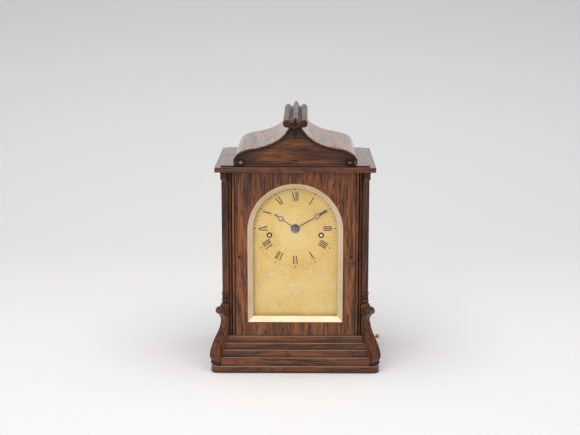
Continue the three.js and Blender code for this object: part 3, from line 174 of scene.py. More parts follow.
# ---- studio: pale sweep, soft lamps; sizes and places are in metres
studio = {
    "worldStrength": 0.56,
    "reflectedStrength": 0.86,  # what the camera, polish and glass see of the room
    "roomColour": "#F7F7F8",
    "lampColour": "#FFFDFA",
    "lampAim": (0, 0, 0.14),
    "overheadWatts": 9.8,
    "overheadSize": (1.5, 1.1),
    "overheadPlace": (0.0, -0.25, 1.25),
    "frontWatts": 7.0,
    "frontSize": (1.2, 1.0),
    "frontPlace": (-0.75, -1.75, 0.95),
}
sweep = {
    "front": -2.6, "coveStart": 0.5, "coveRadius": 1.1, "coveSteps": 24, "wallTop": 3.2, "halfWidth": 3.0,
    "nearTone": "#F7F7F7", "farTone": "#F8F8F8", "wallShadeTone": "#D6D6D8",
    "farFade": (-0.5, 0.7),  # Y from the near to the far tone
    "highFade": (0.0, 0.62),  # Z up to the wall's painted shade tone
    "fibreSize": 2.0,  # mm, coarser than real paper so that it shows
    "fibreDepth": 0.03, "bumpHeight": 0.0003, "roughness": 0.95, "gloss": 0.1,
}


def addStudio(settings):
    world = bpy.data.worlds.new("studioRoom")
    world.use_nodes = True
    tree = world.node_tree
    tree.nodes.clear()
    path = addNode(tree, "LightPath")
    seen = path.outputs["Is Camera Ray"]
    for ray in ("Is Glossy Ray", "Is Transmission Ray"):
        seen = addNode(tree, "Math", [seen, path.outputs[ray]], operation="MAXIMUM")
    strength = addNode(tree, "MapRange", [
        seen, 0.0, 1.0, settings["worldStrength"], settings["reflectedStrength"],
    ])
    room = addNode(tree, "Background", [hexColour(settings["roomColour"]), strength])
    addNode(tree, "OutputWorld", {"Surface": room})
    bpy.context.scene.world = world

    for name in ("overhead", "front"):
        data = bpy.data.lights.new(name + "Softbox", "AREA")
        data.shape = "RECTANGLE"
        data.size, data.size_y = settings[name + "Size"]
        data.energy = settings[name + "Watts"]
        data.color = hexColour(settings["lampColour"])[:3]
        lamp = bpy.data.objects.new(name + "Softbox", data)
        bpy.context.scene.collection.objects.link(lamp)
        place = Vector(settings[name + "Place"])
        aim = Vector(settings["lampAim"]) - place
        lamp.matrix_world = Matrix.Translation(place) @ aim.to_track_quat("-Z", "Y").to_matrix().to_4x4()


def addSweep(settings):
    # one sheet: floor, a wide cove and the wall behind
    start, radius, steps = settings["coveStart"], settings["coveRadius"], settings["coveSteps"]
    profile = [(settings["front"], 0.0)]
    for i in range(steps + 1):
        angle = math.pi / 2 * i / steps
        profile.append((start + radius * math.sin(angle), radius - radius * math.cos(angle)))
    profile.append((start + radius, settings["wallTop"]))
    mesh = bpy.data.meshes.new("paperSweep")
    points = [(x, y, z) for y, z in profile for x in (-settings["halfWidth"], settings["halfWidth"])]
    faces = [(2 * i, 2 * i + 1, 2 * i + 3, 2 * i + 2) for i in range(len(profile) - 1)]
    mesh.from_pydata(points, [], faces)
    for face in mesh.polygons:
        face.use_smooth = True
    sheet = bpy.data.objects.new("paperSweep", mesh)
    bpy.context.scene.collection.objects.link(sheet)
    # matt paper: an even tone, painted greyer up the wall as painted shade where less light reaches
    material, tree = newMaterial("mattBackgroundPaper")
    parts = addNode(tree, "SeparateXYZ", [addNode(tree, "TexCoord").outputs["Object"]])
    far = addNode(tree, "MapRange", [parts.outputs["Y"], *settings["farFade"]], **smooth)
    high = addNode(tree, "MapRange", [parts.outputs["Z"], *settings["highFade"]], **smooth)
    fibres = noiseBy(tree, objectMillimetres(tree), settings["fibreSize"], 2.0)
    tone = layered(tree, hexColour(settings["nearTone"]), [
        (far, 1.0, settings["farTone"]), (high, 1.0, settings["wallShadeTone"]),
    ])
    bump = addNode(tree, "Bump", {
        "Height": fibres, "Strength": settings["fibreDepth"], "Distance": settings["bumpHeight"],
    })
    paper = addNode(tree, "BsdfPrincipled", {
        "Base Color": tone, "Roughness": settings["roughness"], "Specular IOR Level": settings["gloss"],
        "Normal": bump,
    })
    addNode(tree, "OutputMaterial", {"Surface": paper})
    mesh.materials.append(material)


addStudio(studio)
addSweep(sweep)
print("studio lit")


# ---- French-polished rosewood: orange-brown ground, ink-dark lines, deep clear polish
rosewoodLook = {
    "ground": ["#28130A", "#532A15", "#784322", "#9A5D30"],  # darkest to lightest grain
    "groundStops": (0.0, 0.3, 0.62, 1.0),
    "groundRange": (0.32, 0.68),
    # each noise: mm across and along the grain, detail, roughness
    "drift": (42, 150, 2.0, 0.55),
    "band": (5.0, 80.0, 4.0, 0.6),
    "streak": (1.3, 30.0, 5.0, 0.65),
    "pore": (0.55, 7.0, 2.0, 0.55),  # real pores are 0.1 mm wide; drawn coarser so that they show
    "glow": (14, 60, 3.0, 0.55),
    "ring": (16, 170, 1.5, 0.55),
    "wander": 20.0,  # mm; the figure drifts about a quarter of it to each side
    "ember": "#94501F", "glowRange": (0.5, 0.72), "glowShare": 0.45,  # glowing patches
    "ink": "#140C0A", "inkLines": 12.0, "inkRange": (0.30, 0.02),  # black lines of the figure
    "inkBreaks": (0.62, 0.42, 0.15, 0.85),  # the streaks break the lines up
    "poreRange": (0.60, 0.72), "poreShare": 0.55, "poreDepth": -0.06,
    "wornAndLitEdge": "#C07A48",  # where the polish has rubbed through on arrises, and a painted highlight along them
    "rubAndSheenWidth": 0.9, "rubAndSheenPatches": (0.35, 0.6, 0.35, 1.0),
    # the dark tone for painted shade in corners, at panel edges and on darkened pieces, and for old wax and
    # ebonising
    "shadeWaxAndStainTone": "#100A08", "cornerShadeShare": 0.85,
    "creviceReach": 5.0,  # mm that the painted corner shade, with old polish, spreads out of a corner
    "shadedEdge": None,  # X and Z of a panel's clear middle, and its half width and height, for a painted shade towards its edges
    "edgeShadeRange": (0.45, 1.0), "edgeShadeShare": 0.8,
    "topShine": 0.0,  # how much paler surfaces that face up are painted: a painted sheen of the light above
    "treadRange": (0.25, 0.9), "treadSheenTone": "#B09A8C",
    "roughness": (0.42, 0.26), "ior": 1.45, "gloss": 0.15,
    "coatWeight": 0.75, "coatRoughness": 0.10, "coatIor": 1.4,
    "waveSize": 22, "waveStrength": 0.25, "waveHeight": 0.0008,
}
doorLook = dict(
    rosewoodLook, ground=["#24130B", "#4E2A17", "#7C4826", "#A66636"], band=(4.2, 60.0, 4.0, 0.6),
    streak=(1.0, 22.0, 5.0, 0.65), inkLines=16.0,
)
stepLook = dict(
    rosewoodLook, creviceReach=9.0, wornAndLitEdge="#B48468", streak=(1.1, 36.0, 5.0, 0.65), topShine=0.7,
)
carvedLook = dict(
    rosewoodLook, ground=["#1C0E08", "#442312", "#6E3C1E", "#96582C"], coatWeight=0.35, coatRoughness=0.22,
    creviceReach=16.0,
)
roofLook = dict(
    rosewoodLook, ground=["#5A3826", "#7C4E34", "#966040", "#AE7650"], ember="#BC7A48", inkLines=2.4,
    band=(22.0, 60.0, 4.0, 0.6), streak=(6.0, 90.0, 5.0, 0.65), coatRoughness=0.16, coatWeight=1.0,
    poreShare=0.05, creviceReach=2.5,
)
finialLook = dict(
    rosewoodLook, ground=["#160D09", "#2E1C14", "#472C1E", "#5E3B28"], ember="#6A3A20", inkLines=4.0,
    coatWeight=0.4, coatRoughness=0.2, creviceReach=8.0, wornAndLitEdge="#7E4226",
    streak=(3.0, 90.0, 5.0, 0.65), poreShare=0.1,
)
# waxed mahogany: redder and plainer, with a soft shine and no ink lines to speak of
mahoganyLook = dict(
    rosewoodLook, ground=["#3A1C12", "#5C2E1C", "#7A4228", "#8E5434"], ember="#8A4726", ink="#2A140C",
    wornAndLitEdge="#9A6038", inkLines=4.0, roughness=(0.6, 0.45), coatRoughness=0.3,
)


def rosewood(name, along, mitre=None, shift=0.0, darken=0.0, edge=0.7, look=rosewoodLook):
    # along is the grain's axis; mitre gives the half sizes of a framed board whose sides run the other way
    material, tree = newMaterial(name)
    place = objectMillimetres(tree, (shift, shift * 0.7, shift * 1.3))
    parts = addNode(tree, "SeparateXYZ", [place])
    order = {"X": "YZX", "Y": "XZY", "Z": "XYZ"}

    def laidOut(axis):
        return addNode(tree, "CombineXYZ", [parts.outputs[letter] for letter in order[axis]])

    def figure(vector, part):
        across, length, detail, roughness = look[part]
        return noiseBy(tree, vector, (across, across, length), detail, roughness)

    grain = laidOut(along)
    if mitre:
        plain = addNode(tree, "SeparateXYZ", [objectMillimetres(tree)])
        beyond = []
        for axis, half in zip("XY", mitre):
            away = addNode(tree, "Math", [plain.outputs[axis]], operation="ABSOLUTE")
            beyond.append(addNode(tree, "Math", [away, half], operation="SUBTRACT"))
        onSide = addNode(tree, "Math", beyond, operation="GREATER_THAN")
        other = laidOut("Y" if along == "X" else "X")
        grain = addNode(tree, "Mix", {0: onSide, 4: grain, 5: other}, data_type="VECTOR")

    slow = figure(grain, "drift")
    centred = addNode(tree, "Math", [slow, 0.5], operation="SUBTRACT")
    drift = addNode(tree, "Math", [centred, look["wander"]], operation="MULTIPLY")
    push = addNode(tree, "CombineXYZ", [drift, drift])
    bent = addNode(tree, "VectorMath", [grain, push], operation="ADD")
    streak = figure(bent, "streak")
    both = addNode(tree, "Math", [figure(bent, "band"), streak], operation="ADD")
    mean = addNode(tree, "Math", [both, 0.5], operation="MULTIPLY")
    ramp = addNode(tree, "ValToRGB", [addNode(tree, "MapRange", [mean, *look["groundRange"]], **smooth)])
    stops = ramp.color_ramp.elements
    for share in look["groundStops"][1:-1]:
        stops.new(share)
    for stop, tone in zip(stops, look["ground"]):
        stop.color = hexColour(tone)

    glow = addNode(tree, "MapRange", [figure(bent, "glow"), *look["glowRange"]], **smooth)
    # contour lines of a stretched noise wander like the ink lines of the figure
    contours = addNode(tree, "Math", [figure(bent, "ring"), look["inkLines"]], operation="MULTIPLY")
    saw = addNode(tree, "Math", [contours], operation="FRACT")
    lines = addNode(tree, "MapRange", [saw, *look["inkRange"]], **smooth)
    breaks = addNode(tree, "MapRange", [streak, *look["inkBreaks"]], **smooth)
    ink = addNode(tree, "Math", [lines, breaks], operation="MULTIPLY")
    pores = addNode(tree, "MapRange", [figure(bent, "pore"), *look["poreRange"]], **smooth)
    patches = addNode(tree, "MapRange", [slow, *look["rubAndSheenPatches"]], **smooth)
    # the arrises are painted paler in patches: rubbed-through polish and a painted highlight on the lit
    # edges
    rubAndSheen = addNode(tree, "Math", [wornAndLitEdges(tree, look["rubAndSheenWidth"]), patches], operation="MULTIPLY")
    # painted shade: corners and creases are darkened by ambient occlusion, along with the old polish that
    # gathers there
    cornerShadeAndWax = crevices(tree, look["creviceReach"])
    layers = [
        (glow, look["glowShare"], look["ember"]), (ink, 1.0, look["ink"]),
        (pores, look["poreShare"], look["ink"]), (rubAndSheen, edge, look["wornAndLitEdge"]),
        (cornerShadeAndWax, look["cornerShadeShare"], look["shadeWaxAndStainTone"]),
    ]
    if look["shadedEdge"]:
        # painted shade: the panel is darkened towards its moulded edge and up under the finial
        midX, midZ, wide, tall = look["shadedEdge"]
        middle = objectMillimetres(tree, (-midX, 0, -midZ))
        oval = addNode(tree, "VectorMath", [middle, (1 / wide, 0, 1 / tall)], operation="MULTIPLY")
        away = addNode(tree, "VectorMath", [oval], operation="LENGTH")
        edgeShade = addNode(tree, "MapRange", [away, *look["edgeShadeRange"]], **smooth)
        layers.append((edgeShade, look["edgeShadeShare"], look["shadeWaxAndStainTone"]))
    if look["topShine"]:
        # painted sheen: treads and tops that face up are painted paler and greyer than the faces, where the
        # light above catches them
        facing = addNode(tree, "SeparateXYZ", [addNode(tree, "NewGeometry").outputs["Normal"]])
        treadSheen = addNode(tree, "MapRange", [facing.outputs["Z"], *look["treadRange"]], **smooth)
        layers.append((treadSheen, look["topShine"], look["treadSheenTone"]))
    # darken pulls a whole material towards the dark tone: painted shade on the cornice, brackets and hollow
    # pieces, ebonising on the mask
    layers.append((darken, 1.0, look["shadeWaxAndStainTone"]))
    # hand polish is never dead flat: slow waves under the gloss, and the pores just grin through
    waves = noiseBy(tree, place, look["waveSize"], 1.0)
    height = addNode(tree, "Math", [pores, look["poreDepth"], waves], operation="MULTIPLY_ADD")
    bump = addNode(tree, "Bump", {
        "Height": height, "Strength": look["waveStrength"], "Distance": look["waveHeight"],
    })
    shader = addNode(tree, "BsdfPrincipled", {
        "Base Color": layered(tree, ramp, layers),
        "Roughness": addNode(tree, "MapRange", [streak, *noiseRange, *look["roughness"]], **smooth),
        "IOR": look["ior"], "Specular IOR Level": look["gloss"],
        "Coat Weight": look["coatWeight"], "Coat Roughness": look["coatRoughness"],
        "Coat IOR": look["coatIor"], "Normal": bump, "Coat Normal": bump,
    })
    addNode(tree, "OutputMaterial", {"Surface": shader})
    return material


# ---- metals
def finishMetal(material, tree, look, colour, grain, height):
    # metals and dial wax share a skin whose roughness follows a grain
    bump = addNode(tree, "Bump", {
        "Height": height, "Strength": look["depth"], "Distance": look["relief"] * mm,
    })
    shader = addNode(tree, "BsdfPrincipled", {
        "Base Color": colour, "Metallic": look["metallic"],
        "Roughness": addNode(tree, "MapRange", [grain, *noiseRange, *look["roughness"]], **smooth),
        "Normal": bump,
    })
    addNode(tree, "OutputMaterial", {"Surface": shader})
    return material


# lacquered brass: clear gold, fine polishing lines one way, brown film in the corners
brassLook = {
    "tones": ("#E3BE7E", "#C79650"), "film": "#7A5B33",
    "cloudSize": 14, "cloudDetail": 4.0,
    "lineSize": (0.35, 30),  # mm across and along the polishing lines, drawn coarse
    "filmReach": 3.0, "filmShare": 0.8,  # mm that the film spreads out of a corner
    "spotSize": 3, "spotRange": (0.62, 0.75), "spotShare": 0.3,
    "roughness": (0.16, 0.30), "metallic": 1.0, "depth": 0.12, "relief": 0.2,
}
# the bezel's tones are painted pale, a painted reflection of the light on its bevel; with half the metal and
# a satin roughness it reads as pale as the dial
bezelLook = dict(
    brassLook, tones=("#E9D6B6", "#E2CAA2"), film="#A88A5C", roughness=(0.32, 0.60), spotShare=0.05,
    filmShare=0.1, metallic=0.55,
)
# steel and bell metal: a grey or tin-brown ground, filing lines and thin oil stains
steelLook = dict(
    brassLook, tones=("#B9B8B4", "#8E8B86"), film="#1A1613", cloudSize=7, cloudDetail=5.0,
    lineSize=(0.3, 12), depth=0.15, filmReach=2.0, filmShare=0.7, spotShare=0.0,
    roughness=(0.224, 0.364),
)


def workedMetal(name, along, look):
    # along is the axis that the polishing or filing lines run
    material, tree = newMaterial(name)
    place = objectMillimetres(tree)
    across, length = look["lineSize"]
    brush = noiseBy(tree, place, [length if axis == along else across for axis in "XYZ"])
    cloud = noiseBy(tree, place, look["cloudSize"], look["cloudDetail"])
    clouds = addNode(tree, "MapRange", [cloud, *patchRange], **smooth)
    speck = noiseBy(tree, place, look["spotSize"], 5.0)
    specks = addNode(tree, "MapRange", [speck, *look["spotRange"]], **smooth)
    spots = addNode(tree, "Math", [specks, look["spotShare"]], operation="MULTIPLY")
    corners = addNode(tree, "Math", [
        crevices(tree, look["filmReach"]), look["filmShare"],
    ], operation="MULTIPLY")
    film = addNode(tree, "Math", [corners, spots], operation="MAXIMUM")
    clean, warm = look["tones"]
    colour = layered(tree, hexColour(clean), [(clouds, 1.0, warm), (film, 1.0, look["film"])])
    return finishMetal(material, tree, look, colour, brush, brush)


# fire-gilt brass with a fine turned grain: soft yellow, a satin more than a mirror
giltLook = {
    "face": "#F0CC80", "deep": "#E8BE6E", "pale": "#F6DCA6", "worn": "#C89C5A",
    "centre": (0.0, 159.0),  # X and Z of the hands' arbor
    "cloudSize": 26, "speckSize": 0.9, "wornRange": (0.60, 0.78), "wornShare": 0.35,
    "paleRange": (34, 4), "paleShare": 0.35,  # mm from the centre
    "ringPitch": 0.8,  # mm between the turned rings, finer on the real plate
    "ringDepth": 0.4, "turnedEdge": (46.0, 45.0),
    "roughness": (0.36, 0.5), "metallic": 0.3, "depth": 0.10, "relief": 0.2,
}


def giltDial(name, look):
    material, tree = newMaterial(name)
    place = objectMillimetres(tree, (-look["centre"][0], 0, -look["centre"][1]))
    flat = addNode(tree, "VectorMath", [place, (1, 0, 1)], operation="MULTIPLY")
    radius = addNode(tree, "VectorMath", [flat], operation="LENGTH")
    clouds = addNode(tree, "MapRange", [noiseBy(tree, place, look["cloudSize"], 4.0), *noiseRange], **smooth)
    speck = noiseBy(tree, place, look["speckSize"])
    pale = addNode(tree, "MapRange", [radius, *look["paleRange"]], **smooth)
    worn = addNode(tree, "MapRange", [speck, *look["wornRange"]], **smooth)
    waves = addNode(tree, "Math", [radius, 2 * math.pi / look["ringPitch"]], operation="MULTIPLY")
    rings = addNode(tree, "Math", [waves], operation="SINE")
    inside = addNode(tree, "MapRange", [radius, *look["turnedEdge"], 0.0, look["ringDepth"]], **smooth)
    height = addNode(tree, "Math", [rings, inside, speck], operation="MULTIPLY_ADD")
    colour = layered(tree, hexColour(look["face"]), [
        (clouds, 1.0, look["deep"]), (pale, look["paleShare"], look["pale"]),
        (worn, look["wornShare"], look["worn"]),
    ])
    return finishMetal(material, tree, look, colour, speck, height)


# ---- what is cut into the dial
# black shellac wax melted into the numerals: nearly matt, a little crazed and brown with age
waxLook = {
    "tones": ("#1E1814", "#4A3A2A"), "softRange": (0.4, 0.7), "grainSize": 1.4, "grainDetail": 4.0,
    "roughness": (0.4, 0.6), "metallic": 0.0, "depth": 0.2, "relief": 0.1,
}
# the two sides of a graver's cut in the gilding: one in shade, one catching the light
shadeLook = dict(
    waxLook, tones=("#CE9E56", "#DCB26A"), softRange=patchRange, grainSize=0.8, grainDetail=3.0,
    metallic=0.2, roughness=(0.5, 0.6),
)
shineLook = dict(shadeLook, tones=("#FFECC0", "#F8DEA4"), roughness=(0.4, 0.6))


def cutLine(name, look):
    material, tree = newMaterial(name)
    grain = noiseBy(tree, objectMillimetres(tree), look["grainSize"], look["grainDetail"])
    soft = addNode(tree, "MapRange", [grain, *look["softRange"]], **smooth)
    colour = layered(tree, hexColour(look["tones"][0]), [(soft, 1.0, look["tones"][1])])
    return finishMetal(material, tree, look, colour, grain, grain)


# old flat glass: clear, faintly wavy; lamps reach through it so that the dial stays lit
glassLook = {
    "tint": "#FBFDFB", "shadowTint": "#FDFEFD", "roughness": 0.02,
    "ior": 1.3,  # below real glass, so that the dial shows through as plainly as in the photo
    "waveSize": (30, 30, 45), "waveDepth": 0.02,
}


def clearGlass(name, look):
    material, tree = newMaterial(name)
    waves = noiseBy(tree, objectMillimetres(tree), look["waveSize"], 1.0)
    bump = addNode(tree, "Bump", {"Height": waves, "Strength": look["waveDepth"], "Distance": 0.6 * mm})
    pane = addNode(tree, "BsdfPrincipled", {
        "Base Color": hexColour(look["tint"]), "Roughness": look["roughness"], "IOR": look["ior"],
        "Transmission Weight": 1.0, "Normal": bump,
    })
    through = addNode(tree, "BsdfTransparent", [hexColour(look["shadowTint"])])
    shadowRay = addNode(tree, "LightPath").outputs["Is Shadow Ray"]
    addNode(tree, "OutputMaterial", {"Surface": addNode(tree, "MixShader", [shadowRay, pane, through])})
    return material


panelLook = dict(
    rosewoodLook, creviceReach=12.0, streak=(1.0, 26.0, 5.0, 0.65), shadedEdge=(0, 236, 62, 36),
)
# the rim bead and lobe tips: a paler ground, a painted highlight where the light catches them
litRimLook = dict(
    rosewoodLook, ground=["#5A2E18", "#85492A", "#A8653E", "#C28458"], inkLines=2.0, creviceReach=1.5,
)
# the rosettes: paler still, a painted highlight on the turned buttons
buttonLook = dict(litRimLook, ground=["#6A4028", "#95643F", "#B98660", "#D0A480"], creviceReach=2.0)
# the finial's scroll eyes: a near-black ground of painted shade, with paler edges that are painted glints
eyeLook = dict(finialLook, ground=["#1C0E08", "#3C1E10", "#5A2E18", "#7A4226"], wornAndLitEdge="#B06A40")
corniceLook = dict(rosewoodLook, poreShare=0.2, coatWeight=1.0, topShine=0.3)

materials = {
    "doorWood": rosewood("rosewoodVeneerUpright", "Z", look=doorLook),
    # darken: painted shade on the cornice, brackets and the near-black hollow pieces; the black of ebonising
    # on the mask
    "postWood": rosewood("rosewoodPostUpright", "Z", shift=61, darken=0.42, look=carvedLook),
    "sideWood": rosewood("rosewoodSideVeneer", "Z", shift=137),
    "bracketWood": rosewood("rosewoodCarvedBracket", "Z", shift=211, darken=0.1, look=carvedLook),
    "stepWood": rosewood("rosewoodStepMoulding", "X", (86, 74), shift=37, darken=0.05, look=stepLook),
    "baseWood": rosewood("rosewoodBaseBoard", "X", (93, 79), shift=83, darken=0.2, look=stepLook),
    "corniceWood": rosewood("rosewoodCornice", "X", (87, 74), shift=19, darken=0.32, look=corniceLook),
    "panelWood": rosewood("rosewoodTympanumVeneer", "X", shift=173, darken=0.05, look=panelLook),
    "roofWood": rosewood("rosewoodRoofMould", "Y", shift=97, look=roofLook),
    "litRimWood": rosewood("litRosewoodRim", "X", shift=143, look=litRimLook),
    # near-black wood for hollows, coves, the volutes, the leaf and the keyholes: painted shade
    "paintedShadeWood": rosewood("shadePaintedRosewoodCove", "X", shift=149, darken=0.85, edge=0.1, look=carvedLook),
    "rosetteWood": rosewood("highlightedRosewoodRosette", "Y", shift=263, look=buttonLook),
    "finialWood": rosewood("rosewoodRidgeRolls", "Y", shift=251, look=finialLook),
    "eyeWood": rosewood("shadedGlintScrollEye", "Y", shift=259, look=eyeLook),
    "maskWood": rosewood("ebonisedDialMask", "Z", shift=29, darken=0.75),
    "mahogany": rosewood("waxedMahogany", "X", shift=7, look=mahoganyLook, edge=0.3),
    "bezelBrass": workedMetal("paleReflectionBezel", "Z", bezelLook),
    "knobBrass": workedMetal("handledKnobBrass", "X", dict(
        brassLook, roughness=(0.176, 0.33), spotShare=0.5)),
    "movementBrass": workedMetal("stonedMovementBrass", "Z", dict(
        brassLook, roughness=(0.272, 0.51), spotShare=0.15)),
    "dialGilt": giltDial("fireGiltDial", giltLook),
    "blueSteel": workedMetal("bluedHandSteel", "Z", dict(
        steelLook, tones=("#8E868E", "#625C68"), roughness=(0.32, 0.52))),
    "darkSteel": workedMetal("holeShadeWindingCollet", "Z", dict(
        steelLook, tones=("#2E2C30", "#1C1A1E"), roughness=(0.32, 0.52))),
    "brightSteel": workedMetal("brightWindingSquare", "Z", dict(
        steelLook, tones=("#F2F1EE", "#DAD8D4"), roughness=(0.24, 0.39))),
    "steel": workedMetal("polishedArborSteel", "Y", steelLook),
    "dialWax": cutLine("blackDialWax", waxLook),
    "cutShade": cutLine("engravedCutShade", shadeLook),
    "cutShine": cutLine("engravedCutShine", shineLook),
    "bellMetal": workedMetal("castBellMetal", "Z", dict(
        steelLook, tones=("#CDB68C", "#A98F62"), roughness=(0.24, 0.39))),
    "glass": clearGlass("oldClearGlass", glassLook),
}
print("materials made", len(materials))


# ---- pieces that keep the CAD shape: merged, with softened arrises and smooth turnings
meshing = {
    "weld": 1e-6, "latheWeld": 1e-7,  # metres
    "flatAngle": 0.6, "smoothAngle": 38,  # degrees
    "arrisSegments": 2,
}


def pieceFrom(name, build, material, body="case", softening=0.0):
    # build is a filled bmesh in the row frame, in metres
    mesh = bpy.data.meshes.new(name)
    sharp = math.radians(meshing["smoothAngle"])
    for face in build.faces:
        face.smooth = True
    for edge in build.edges:
        edge.smooth = len(edge.link_faces) == 2 and edge.calc_face_angle(0) < sharp
    build.to_mesh(mesh)
    build.free()
    piece = bpy.data.objects.new(name, mesh)
    bpy.context.scene.collection.objects.link(piece)
    mesh.materials.append(materials[material])
    if softening:
        soften = piece.modifiers.new("softArris", "BEVEL")
        soften.width = softening * mm
        soften.segments = meshing["arrisSegments"]
        soften.limit_method = "ANGLE"
        soften.angle_limit = sharp
        soften.harden_normals = True
        soften.use_clamp_overlap = True
        soften.miter_outer = "MITER_ARC"
    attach(piece, body)
    return piece


def shapeOf(nodeName):
    build = bmesh.new()
    build.from_mesh(nodes[nodeName].data)
    bmesh.ops.remove_doubles(build, verts=build.verts, dist=meshing["weld"])
    bmesh.ops.dissolve_limit(
        build, angle_limit=math.radians(meshing["flatAngle"]), use_dissolve_boundaries=False,
        verts=build.verts, edges=build.edges,
    )
    bmesh.ops.recalc_face_normals(build, faces=build.faces)
    return build


joinery = [
    # material, softening in mm, CAD nodes that it dresses
    ("baseWood", 1.4, ["base_board"]),
    ("stepWood", 0.5, [f"plinth_step_{i}" for i in (1, 2, 3, 4)]),
    ("postWood", 0.25, ["left_corner_post", "right_corner_post"]),
    ("sideWood", 0.3, ["left_side_panel", "right_side_panel"]),
    ("bracketWood", 0.7, ["left_scroll_bracket", "right_scroll_bracket"]),
    ("corniceWood", 0.6, ["cornice_board"]),
    ("corniceWood", 0.4, ["roof_platform"]),
    ("roofWood", 0.5, ["left_roof_shell", "right_roof_shell"]),
    ("panelWood", 0.1, ["front_tympanum", "rear_tympanum"]),
    ("finialWood", 0.4, ["ridge_finial"]),
    ("doorWood", 0.3, ["front_door"]),
    ("doorWood", 0.4, ["back_door"]),
    ("maskWood", 0.2, ["dial_mask"]),
    ("mahogany", 0.4, ["seat_board"]),
    ("bezelBrass", 0.15, ["sight_bezel"]),
    ("knobBrass", 0.1, ["front_hinge_rod", "back_hinge_rod"]),
    ("knobBrass", 0.2, ["back_door_knob"]),
    ("dialGilt", 0.1, ["dial_plate"]),
    ("blueSteel", 0.05, ["hour_hand", "minute_hand"]),
    ("movementBrass", 0.25, ["front_plate", "back_plate", "back_cock"]),
    ("movementBrass", 0.2, [
        "door_lock", "left_lower_pillar", "left_upper_pillar", "right_lower_pillar", "right_upper_pillar",
    ]),
    ("movementBrass", 0.15, ["going_barrel", "strike_barrel"]),
    ("movementBrass", 0.1, ["pendulum"]),
    ("movementBrass", 0.0, [
        "going_great_wheel", "centre_wheel", "third_wheel", "escape_wheel", "going_fusee",
        "strike_fusee", "strike_great_wheel", "pin_wheel", "hour_wheel", "minute_wheel",
    ]),
    ("steel", 0.0, ["cannon_pinion"]),
    ("steel", 0.1, ["pallets_and_crutch", "bell_stand"]),
    ("steel", 0.15, ["hammer"]),
    ("bellMetal", 0.1, ["bell"]),
]


def addJoinery():
    dressed = 0
    for material, softening, names in joinery:
        for nodeName in names:
            body = nodes[nodeName]["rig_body"]
            piece = pieceFrom(nodeName + ".dressed", shapeOf(nodeName), material, body, softening)
            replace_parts(piece, nodeName)
            dressed += 1
    for nodeName in ("door_glass", "back_door_glass"):
        for slot in nodes[nodeName].material_slots:
            slot.material = materials["glass"]
    return dressed


print("joinery and movement dressed", addJoinery())


# ---- small shapes that the added work is made of; places are X, Y, Z in mm
bothSides = ((-1, "left"), (1, "right"))


def corner(build, x, y, z):
    return build.verts.new((x * mm, y * mm, z * mm))


def bridge(build, rows, around):
    # quads between neighbouring rows of corners; around closes each row into a ring
    for here, there in zip(rows, rows[1:]):
        for j in range(len(here) if around else len(here) - 1):
            k = (j + 1) % len(here)
            build.faces.new((here[j], here[k], there[k], there[j]))


def circle(steps, radius=1.0, x=0.0, z=0.0):
    # points round a centre, without the first one again at the end
    turns = [2 * math.pi * i / steps for i in range(steps)]
    return [(x + radius * math.cos(t), z + radius * math.sin(t)) for t in turns]


def disc(build, x, y, z, radius, sides):
    build.faces.new([corner(build, u, y, v) for u, v in circle(sides, radius, x, z)])


def turnedAlongY(profile, x, z, sides=40):
    # profile is (radius, Y), closed; lathe around a line along Y
    build = bmesh.new()
    rings = [[corner(build, x + r * c, y, z + r * s) for r, y in profile] for c, s in circle(sides)]
    bridge(build, rings + rings[:1], True)
    bmesh.ops.remove_doubles(build, verts=build.verts, dist=meshing["latheWeld"])
    bmesh.ops.recalc_face_normals(build, faces=build.faces)
    return build


def tube(build, points, radii, sides=8):
    # a round rod through points, its radius given at each of them or once for all
    radii = radii if isinstance(radii, list) else [radii] * len(points)
    rings = []
    side = None
    for i, point in enumerate(points):
        ahead, behind = Vector(points[min(i + 1, len(points) - 1)]), Vector(points[max(i - 1, 0)])
        along = (ahead - behind).normalized()
        if side is None:
            side = along.orthogonal().normalized()
        side = (side - along * side.dot(along)).normalized()
        up = along.cross(side)
        rings.append([
            corner(build, *(Vector(point) + (side * c + up * s) * radii[i])) for c, s in circle(sides)
        ])
    bridge(build, rings, True)
    build.faces.new(rings[0][::-1])
    build.faces.new(rings[-1])
    bmesh.ops.recalc_face_normals(build, faces=build.faces)


# ---- flat work on the dial: numerals, minute dots and an engraved scroll, as thin ribbons
dialLook = {
    "centre": giltLook["centre"],
    "face": -56.0,  # Y of the gilt surface
    "numeralInner": 31.0, "numeralOuter": 40.2,
    "thick": 1.1, "thin": 0.26, "serif": 0.16, "serifInset": 0.2,
    "dotRadius": 43.8, "minuteDot": 0.4, "hourDot": 0.85, "dotSides": 12,
    "chapterRings": (16.0, 25.4, 41.7, 45.6), "ringWidth": 0.24, "ringSteps": 120,
    "waxLift": 0.05, "cutLift": 0.03, "shineLift": 0.04,
}
letters = {
    # width in mm, then strokes: X and share of the height at the start, the same at the end, weight
    "I": (1.9, [(0.95, 0, 0.95, 1, "thick")]),
    "V": (3.5, [(0.5, 1, 1.75, 0, "thick"), (3.0, 1, 1.75, 0, "thin")]),
    "X": (3.7, [(0.4, 1, 3.3, 0, "thick"), (3.3, 1, 0.4, 0, "thin")]),
}
hourNumerals = ["XII", "I", "II", "III", "IIII", "V", "VI", "VII", "VIII", "IX", "X", "XI"]


def normalAt(points, i):
    # unit normal in X and Z, to the left of the way along the points
    ax, az = points[max(i - 1, 0)]
    bx, bz = points[min(i + 1, len(points) - 1)]
    length = math.hypot(bx - ax, bz - az) or 1.0
    return (az - bz) / length, (bx - ax) / length


def ribbon(build, points, widths, lift):
    # a flat strip along points (X, Z in mm), just in front of the dial
    y = dialLook["face"] - lift
    rows = []
    for i, (x, z) in enumerate(points):
        nx, nz = normalAt(points, i)
        half = (widths[i] if isinstance(widths, list) else widths) / 2
        rows.append([corner(build, x + nx * half * side, y, z + nz * half * side) for side in (-1, 1)])
    bridge(build, rows, False)


